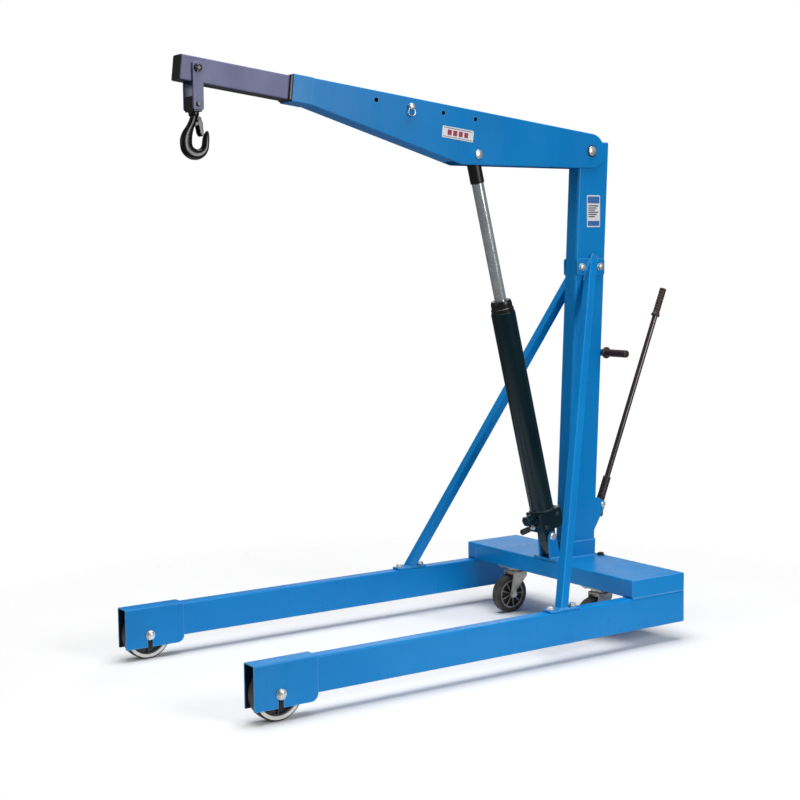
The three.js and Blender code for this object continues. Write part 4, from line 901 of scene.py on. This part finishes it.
def boom_collar():
    """A thin band around the boom's mouth."""
    outer = rectangle(-BOOM_HALF - 1.1, BOOM_HALF + 1.1, COLLAR_BOTTOM - 1.1, BOOM_TOP + 1.1, 4, 6)
    hole = rectangle(-BOOM_HALF + 5, BOOM_HALF - 5, COLLAR_BOTTOM + BOOM_PLATE,
                     BOOM_TOP - BOOM_PLATE, 2, 6)
    return y_prism(outer, BOOM_FRONT - 0.5, COLLAR_REAR, 0.7, [hole])


def label_plate(y, z, length, height, x):
    """A label's plate on a face at x, in (y, z)."""
    outline = rectangle(y - length / 2, y + length / 2, z - height / 2, z + height / 2, 2.5)
    return x_prism(outline, x, x + 0.7, 0.2)


def blocks(rows, x):
    """Small raised marks (y0, y1, z0, z1) on a label whose plate starts at x."""
    x += 0.7
    return joined(*[x_prism(rectangle(*row, 0.8, 3), x, x + 0.35, 0.1) for row in rows])


def build_labels():
    y, z = -539, -26
    marks = [(y - 39 + 21 * k, y - 24 + 21 * k, z - 8, z + 8) for k in range(4)]
    lines = [(y - 54, y + 54, z + 12.5, z + 14), (y - 54, y + 54, z - 14, z - 12.5)]
    for name, side in SIDES:
        plate = on_side(label_plate(y, z, 118, 35, BOOM_HALF), side)
        piece(f"boom_label_{name}", plate, LABEL, "boom", BOOM)
        for kind, rows, look in (("marks", marks, LABEL_RED), ("lines", lines, LABEL_INK)):
            piece(f"boom_label_{kind}_{name}", on_side(blocks(rows, BOOM_HALF), side), look,
                  "boom", BOOM)
    y0, y1, z0, z1 = -60, -4, 1296, 1399
    x = MAST_WIDTH / 2
    plate = label_plate((y0 + y1) / 2, (z0 + z1) / 2, y1 - y0, z1 - z0, x)
    bands = [(y0 + 3, y1 - 3, z1 - 26, z1 - 4), (y0 + 3, y1 - 3, z0 + 4, z0 + 20)]
    lines = [(y0 + 6, y1 - 8 - 7 * (k % 3), z1 - 36 - 7 * k, z1 - 32.5 - 7 * k) for k in range(6)]
    piece("mast_label", plate, LABEL, "chassis")
    piece("mast_label_bands", blocks(bands, x), LABEL_BLUE, "chassis")
    piece("mast_label_lines", blocks(lines, x), LABEL_INK, "chassis")


def extension_section(less, radius, steps=5):
    """The extension's outline, drawn in from its faces by a distance."""
    mid = (BOOM_TOP + COLLAR_BOTTOM) / 2
    half_w, half_h = EXT_WIDTH / 2, EXT_HEIGHT / 2
    return rectangle(-half_w + less, half_w - less, mid - half_h + less, mid + half_h - less,
                     radius, steps)


def extension():
    tube = y_prism(extension_section(0, 5, 6), EXT_FRONT, EXT_REAR, 0.7, [extension_section(4, 1.5)])
    pin = LOCK_HOLES[2]
    slot = rectangle(pin - 244 - LOCK_R, pin + 122 + LOCK_R, LOCK_Z - LOCK_R, LOCK_Z + LOCK_R,
                     LOCK_R - 0.1)
    return carved(tube, x_prism(slot, -40, 40, 0.1))


def extension_plug():
    flange = y_prism(extension_section(0.4, 4.5, 6), EXT_FRONT - 3.5, EXT_FRONT - 0.2, 1.2)
    return joined(flange, y_prism(extension_section(4.3, 1.5), EXT_FRONT - 0.5, EXT_FRONT + 18, 0.5))


def build_boom():
    piece("boom_shell", boom_shell(), BLUE, "boom", BOOM, ["boom"])
    piece("boom_collar", boom_collar(), BLUE, "boom", BOOM)
    outer = rectangle(-32, 32, COLLAR_BOTTOM + 2, BOOM_TOP - 2, 4)
    hole = rectangle(-25.5, 25.5, COLLAR_BOTTOM + BOOM_PLATE, BOOM_TOP - BOOM_PLATE, 4)
    guide = y_prism(outer, BOOM_FRONT - 8.4, BOOM_FRONT - GAP, 1.0, [hole])
    piece("mouth_guide", guide, BLACK, "boom", BOOM, ["boom_mouth_guide"])
    for name, side in SIDES:
        pin = joined(at_side(rod(10, 0, 14, sides=40), 22),
                     at_side(domed(14, 6.6, 3.8), BOOM_HALF + GAP))
        place = frame_at(Vector((0, *middle(f"ram_upper_pin_{name}").yz)), -BOOM_RISE)
        piece(f"ram_head_pin_{name}", on_side(pin, side), ZINC, "boom", place,
              [f"ram_upper_pin_{name}"])
    piece("extension_tube", extension(), GREY, "extension", BOOM, ["extension"])
    piece("extension_plug", extension_plug(), BLACK, "extension", BOOM)
    bolt = cross_bolt(7, HANGER_OUTER + GAP, 12.5, 2, 11.5, 7)
    piece("hanger_cross_bolt", bolt, BLACK, "extension", HANGER, ["hanger_bolt"])
    shank = turned(rounded([(0, -39, 0), (7, -39, 2.5), (7, 36, 0), (0, 36, 0)], 4), 32)
    pin = joined(at_side(domed(9.5, 12.6, 3), BOOM_HALF + GAP), moved(shank, X_WISE))
    piece("lock_bolt", pin, ZINC, "lock_pin", LOCK, ["lock_pin"])
    ring = [Vector((BOOM_HALF + 8, 12 * math.sin(TAU * k / 48), -16.5 + 12 * math.cos(TAU * k / 48)))
            for k in range(48)]
    piece("lock_ring", swept(ring, 1.5, 10, True), ZINC, "lock_pin", LOCK, ["lock_pin_ring"])


# ---------------------------------------------------------------- hook gear
HOOK_STATIONS = (  # inner point, outer point, half thickness
    ((8.5, 73), (-9.5, 73), 9.5), ((8.0, 64), (-11, 64), 9.8), ((6.0, 55), (-15, 55), 10),
    ((2.0, 45), (-21, 44), 10.2), ((-2.6, 33), (-29.5, 33), 10.4), ((-6.0, 19), (-37.5, 20), 10.6),
    ((-7.8, 4), (-42.6, 2), 11), ((-7.0, -9.5), (-40.4, -21.7), 11), ((-3.3, -15.3), (-30.4, -37.4), 11),
    ((2.5, -19), (-14.7, -47.4), 11), ((8, -20), (0, -50), 11), ((13.5, -19), (14.7, -47.4), 11),
    ((19.3, -15.3), (30.4, -37.4), 11), ((23, -9.5), (40.4, -21.7), 10.8), ((24.4, -2), (43.2, -5), 10.2),
    ((26, 9), (44.6, 8), 9.2), ((29.5, 19), (44.2, 20), 7.6), ((33.5, 26), (43, 27.5), 5.8),
    ((37.5, 30.5), (41, 31), 3.0))


def smooth_stations(stations, steps=4):
    """Adds stations between the given ones on a Catmull-Rom curve."""
    rows = [(*Vector(inner), *Vector(outer), thick) for inner, outer, thick in stations]
    result = []
    for i in range(len(rows) - 1):
        p0, p1, p2, p3 = rows[max(i - 1, 0)], rows[i], rows[i + 1], rows[min(i + 2, len(rows) - 1)]
        for k in range(steps):
            s = k / steps
            weights = (-s + 2 * s * s - s ** 3, 2 - 5 * s * s + 3 * s ** 3,
                       s + 4 * s * s - 3 * s ** 3, -s * s + s ** 3)
            result.append([sum(w * p[j] for w, p in zip(weights, (p0, p1, p2, p3))) / 2
                           for j in range(5)])
    result.append(list(rows[-1]))
    return result


def hook_body():
    rings = []
    squareness, sides = 2.5, 28
    for iy, iz, oy, oz, thick in smooth_stations(HOOK_STATIONS):
        centre = Vector((0, (iy + oy) / 2, (iz + oz) / 2))
        half = Vector((0, (oy - iy) / 2, (oz - iz) / 2))
        ring = []
        for k in range(sides):
            a = TAU * k / sides
            c, s = math.cos(a), math.sin(a)
            u = math.copysign(abs(c) ** (2 / squareness), c)
            v = math.copysign(abs(s) ** (2 / squareness), s)
            ring.append(centre + half * u + Vector((thick * v * (1 + 0.12 * u), 0, 0)))
        rings.append(ring)
    shank = turned(rounded([(0, 68, 0), (13, 68, 4), (15, 74, 1.5), (15, 79.3, 1), (8, 79.5, 0),
                            (8, 119, 1), (0, 119, 0)], 4), 40)
    return joined(lofted(rings), shank, at_side(rod(7.5, 0, 22, 1), -11, *LATCH_PIVOT))


def latch():
    inner, outer, length = 11.6, 13.4, 46
    ear = arc(0, 0, 5.5, 0, 180, 12)
    ear += vectors((2, -length + 8), (8, -length), (12, -length), (10, -10))
    web = vectors((10, -14), (8, -14), (9.8, -length), (12, -length))
    return joined(both_sides(x_prism(ear, inner, outer, 0.5)),
                  x_prism(web, -inner - 0.5, inner + 0.5, 0.4),
                  moved(rod(3.6, -15, 15, 1, 24), X_WISE))


def crosshead():
    body = prism(rectangle(-25.2, 25.2, -15, 15, 4), -20, 22, 2.0)
    return joined(body, moved(rod(7, -37.5, 37.5, 1.2), X_WISE))


def build_hook():
    strap = x_prism(rectangle(-16, 16, -113, 16, 6), HANGER_INNER, HANGER_OUTER, 1.1)
    for name, side in SIDES:
        piece(f"hanger_strap_{name}", on_side(strap, side), GREY, "hanger", HANGER,
              [f"hanger_plate_{name}"])
    piece("crosshead", crosshead(), BLACK, "crosshead", TRUNNION, ["hook_block"])
    piece("lifting_hook", hook_body(), FORGED, "hook", HOOK, ["hook"])
    piece("safety_latch", latch(), BLACK, "latch", LATCH, ["hook_latch"])


# ---------------------------------------------------------------- ram and pump
def barrel():
    floor, wall, foot_r = BARREL_BOTTOM + 12, 31, BARREL_R - 0.5
    tube = turned(rounded([(0, BARREL_BOTTOM, 0), (BARREL_R, BARREL_BOTTOM, 2),
                           (BARREL_R, BARREL_TOP, 1.5), (wall, BARREL_TOP, 0.5), (wall, floor, 0.5),
                           (0, floor, 0)], 4), 72)
    foot = [Vector((foot_r * math.cos(TAU * k / 60), foot_r * math.sin(TAU * k / 60),
                    BARREL_BOTTOM + 3)) for k in range(60)]
    fitting = turned(rounded([(0, 0, 0), (6, 0, 0.5), (6, 5, 1), (3, 6, 0.5), (3, 10, 1),
                              (0, 10, 0)], 3), 24)
    fitting = moved(fitting, Matrix.Rotation(-math.pi / 2, 4, "X"))
    return joined(tube, bead(foot, 2.6), moved(fitting, shift(0, 37, 690)))


def gland():
    return turned(rounded([(19.3, 730, 0.5), (30.5, 730, 0.5), (30.5, 756, 0.2), (36.5, 756.2, 1),
                           (36.5, 768, 1), (34, 770, 0.5), (34, 784, 1), (31, 793.8, 2),
                           (19.3, 793.8, 1)], 4), 64)


def rod_eye():
    top = RAM_LENGTH - 16
    neck = turned(rounded([(0, 1169.8, 0), (22, 1169.8, 1.5), (22, top, 2), (0, top, 0)], 4), 48)
    eye = x_prism(circle(0, RAM_LENGTH, 26, 48), -20, 20, 2.0, [circle(0, RAM_LENGTH, PIN_BORE, 36)])
    return joined(neck, eye)


def pump():
    bore = y_prism(circle(0, PUSH_ROD_Z, 9.3, 32), -237, -120, 0.1)
    block = carved(prism(rectangle(-36, 36, -42, 52, 5), 24, 88, 2.5),
                   moved(bore, RAM.inverted() @ CRANE))
    foot = rounded([(-14, -69, 3), (14, -69, 3), (20, -20, 30), (24, 30, 2), (-24, 30, 2),
                    (-20, -20, 30)], 6)
    lug = x_prism(foot, -19.5, 19.5, 1.5, [circle(0, 0, PIN_BORE, 36)])
    boss = turned(rounded([(0, 38, 0), (15, 38, 0), (15, 70, 1), (0, 70, 0)], 3), 40)
    filler = joined(boss, prism(hexagon(17), 69.5, 76, 1.0))
    plugs = [moved(at_side(hex_head(7, 4), 36), shift(0, y, z)) for y, z in ((-22, 40), (30, 70))]
    return joined(block, lug, moved(filler, shift(0, 0, 73) @ LIE_FORWARD), *plugs)


def valve_knob():
    ridges = 32
    outline = [Vector(((9.6 - 0.9 * (k % 2)) * math.cos(TAU * k / ridges),
                       (9.6 - 0.9 * (k % 2)) * math.sin(TAU * k / ridges))) for k in range(ridges)]
    return prism(outline, 66, 98, 1.6)


def build_ram():
    piece("ram_barrel_tube", barrel(), BARREL, "ram_barrel", RAM, ["ram_tube"])
    piece("ram_gland_nut", gland(), BLACK, "ram_barrel", RAM, ["ram_gland"])
    piece("pump_body", pump(), BARREL, "ram_barrel", RAM, ["pump_block"])
    lie = shift(0, 0, 44) @ LIE_FORWARD
    stem = turned(rounded([(0, 30, 0), (5, 30, 0), (5, 64, 0.5), (0, 64, 0)], 3), 32)
    collar = turned(rounded([(5, 44, 0.5), (8, 44, 0.8), (8, 50, 0.8), (5, 50, 0.5)], 3), 32)
    piece("valve_stem", moved(joined(stem, collar), lie), ZINC, "valve", RAM, ["release_valve"])
    piece("valve_knob", moved(valve_knob(), lie), BLACK, "valve", RAM)
    bar = turned(rounded([(0, 440, 0), (30.7, 440, 1), (30.7, 480, 1), (ROD_R, 480, 0),
                          (ROD_R, 1169.4, 1.5), (0, 1169.4, 0)], 4), 72)
    piece("ram_chrome_rod", bar, CHROME, "ram_rod", RAM, ["ram_rod"])
    piece("ram_rod_eye", rod_eye(), BLACK, "ram_rod", RAM, ["rod_end"])


# ---------------------------------------------------------------- lever
def lever_socket():
    reach = 34
    tip = Vector((reach * math.sin(LEVER_LEAN), -reach * math.cos(LEVER_LEAN)))
    arm = arc(0, 0, 12, 0, 180, 14) + arc(tip.x, tip.y, 9, 180, 360, 14)
    tube = turned(rounded([(9.3, 28, 0.5), (13, 28, 1), (13, 95, 1.2), (9.3, 95, 0.6)], 4), 40)
    return joined(x_prism(arm, -11, 11, 1.5), x_prism(rectangle(-9, 9, 0, 34, 2), -11, 11, 1.5), tube)


def build_lever():
    piece("lever_socket_tube", lever_socket(), LEVER_BLACK, "lever", LEVER, ["lever_socket"])
    piece("lever_bar", rod(9, 36.4, 760, 1, 40), LEVER_BLACK, "lever", LEVER, ["pump_lever"])
    piece("lever_hand_grip", hand_grip(670, 769, 11.5, 15, 8), RUBBER, "lever", LEVER, ["lever_grip"])


# ---------------------------------------------------------------- CAD nodes that stay
def build_kept_nodes():
    for node, look in (("hook_nut", BLACK), ("pump_plunger", CHROME), ("pump_push_rod", ZINC)):
        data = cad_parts[node].data
        data.materials.clear()
        data.materials.append(look)


# ---------------------------------------------------------------- studio (metres)
FLOOR_HALF, FADE_START, FADE_END, SKY_LIGHT = 14, 0.95, 1.9, 0.13
LIGHTS = (  # name, place, aim, size, power
    ("key", (4.3, 1.0, 2.2), (0, -0.3, 0.8), 2.0, 95),
    ("top", (0, -0.2, 5.2), (0, -0.2, 0), 4.0, 270),
    ("fill", (-1.0, -4.6, 2.2), (0, 0, 0.8), 2.6, 16),
    ("rim", (-3.8, 2.9, 2.4), (0, 0, 0.9), 3.0, 20))
CAMERA_PLACE, CAMERA_LENS = (3.8654, -2.8065, 1.2084), 69.64
CAMERA_YAW, CAMERA_PITCH, CAMERA_ROLL = 0.5979, 0.0926, -0.0114


def build_floor():
    """A pale floor that fades out into the white around the crane."""
    size = FLOOR_HALF
    mesh = bpy.data.meshes.new("floor")
    corners = [(-size, -size, 0), (size, -size, 0), (size, size, 0), (-size, size, 0)]
    mesh.from_pydata(corners, [], [(0, 1, 2, 3)])
    floor = bpy.data.objects.new("floor", mesh)
    bpy.context.scene.collection.objects.link(floor)
    look = Look("pale_floor", (0.93, 0.93, 0.92), roughness=0.75)
    look.wire("Base Color", look.ramp(look.noise(1.4, 3.0), (0.3, 0.91), (0.7, 0.95)))
    distance = look.add("VectorMath", {"operation": "LENGTH"}, _0=look.place).outputs["Value"]
    fade = look.add("MapRange", Value=distance, From_Min=FADE_START, From_Max=FADE_END)
    clear = look.add("BsdfTransparent").outputs[0]
    faded = look.add("MixShader", _0=fade.outputs["Result"], _1=look.shader.outputs[0], _2=clear)
    output = next(n for n in look.tree.nodes if n.type == "OUTPUT_MATERIAL")
    look.tree.links.new(faded.outputs[0], output.inputs["Surface"])
    mesh.materials.append(look.material)


def area_light(name, place, aim, size, power):
    data = bpy.data.lights.new(name, "AREA")
    data.shape, data.size, data.energy = "DISK", size, power
    lamp = bpy.data.objects.new(name, data)
    lamp.location = place
    lamp.visible_camera = False
    lamp.rotation_mode = "QUATERNION"
    lamp.rotation_quaternion = (Vector(aim) - Vector(place)).to_track_quat("-Z", "Y")
    bpy.context.scene.collection.objects.link(lamp)


def build_world():
    """White behind the crane, with only part of that light falling on it."""
    world = bpy.data.worlds.new("studio")
    bpy.context.scene.world = world
    world.use_nodes = True
    tree = world.node_tree
    background = tree.nodes["Background"]
    background.inputs["Color"].default_value = (1, 1, 1, 1)
    seen = tree.nodes.new("ShaderNodeLightPath").outputs["Is Camera Ray"]
    strength = tree.nodes.new("ShaderNodeMapRange")
    strength.inputs["To Min"].default_value = SKY_LIGHT
    strength.inputs["To Max"].default_value = 1.0
    tree.links.new(seen, strength.inputs["Value"])
    tree.links.new(strength.outputs["Result"], background.inputs["Strength"])


def build_camera():
    level, rise = math.cos(CAMERA_PITCH), math.sin(CAMERA_PITCH)
    ahead = Vector((-level * math.cos(CAMERA_YAW), level * math.sin(CAMERA_YAW), -rise))
    right = ahead.cross(AXIS_Z).normalized()
    up = right.cross(ahead)
    c, s = math.cos(CAMERA_ROLL), math.sin(CAMERA_ROLL)
    right, up = c * right + s * up, -s * right + c * up
    matrix = Matrix((right, up, -ahead)).transposed().to_4x4()
    matrix.translation = CAMERA_PLACE
    data = bpy.data.cameras.new("camera")
    data.sensor_width, data.lens = 36, CAMERA_LENS
    camera = bpy.data.objects.new("camera", data)
    camera.matrix_world = matrix
    bpy.context.scene.collection.objects.link(camera)
    bpy.context.scene.camera = camera


def build_studio():
    bpy.context.scene.view_settings.view_transform = "Standard"
    build_world()
    build_floor()
    for light in LIGHTS:
        area_light(*light)
    build_camera()


build_chassis()
build_boom()
build_labels()
build_hook()
build_ram()
build_lever()
build_kept_nodes()
build_studio()
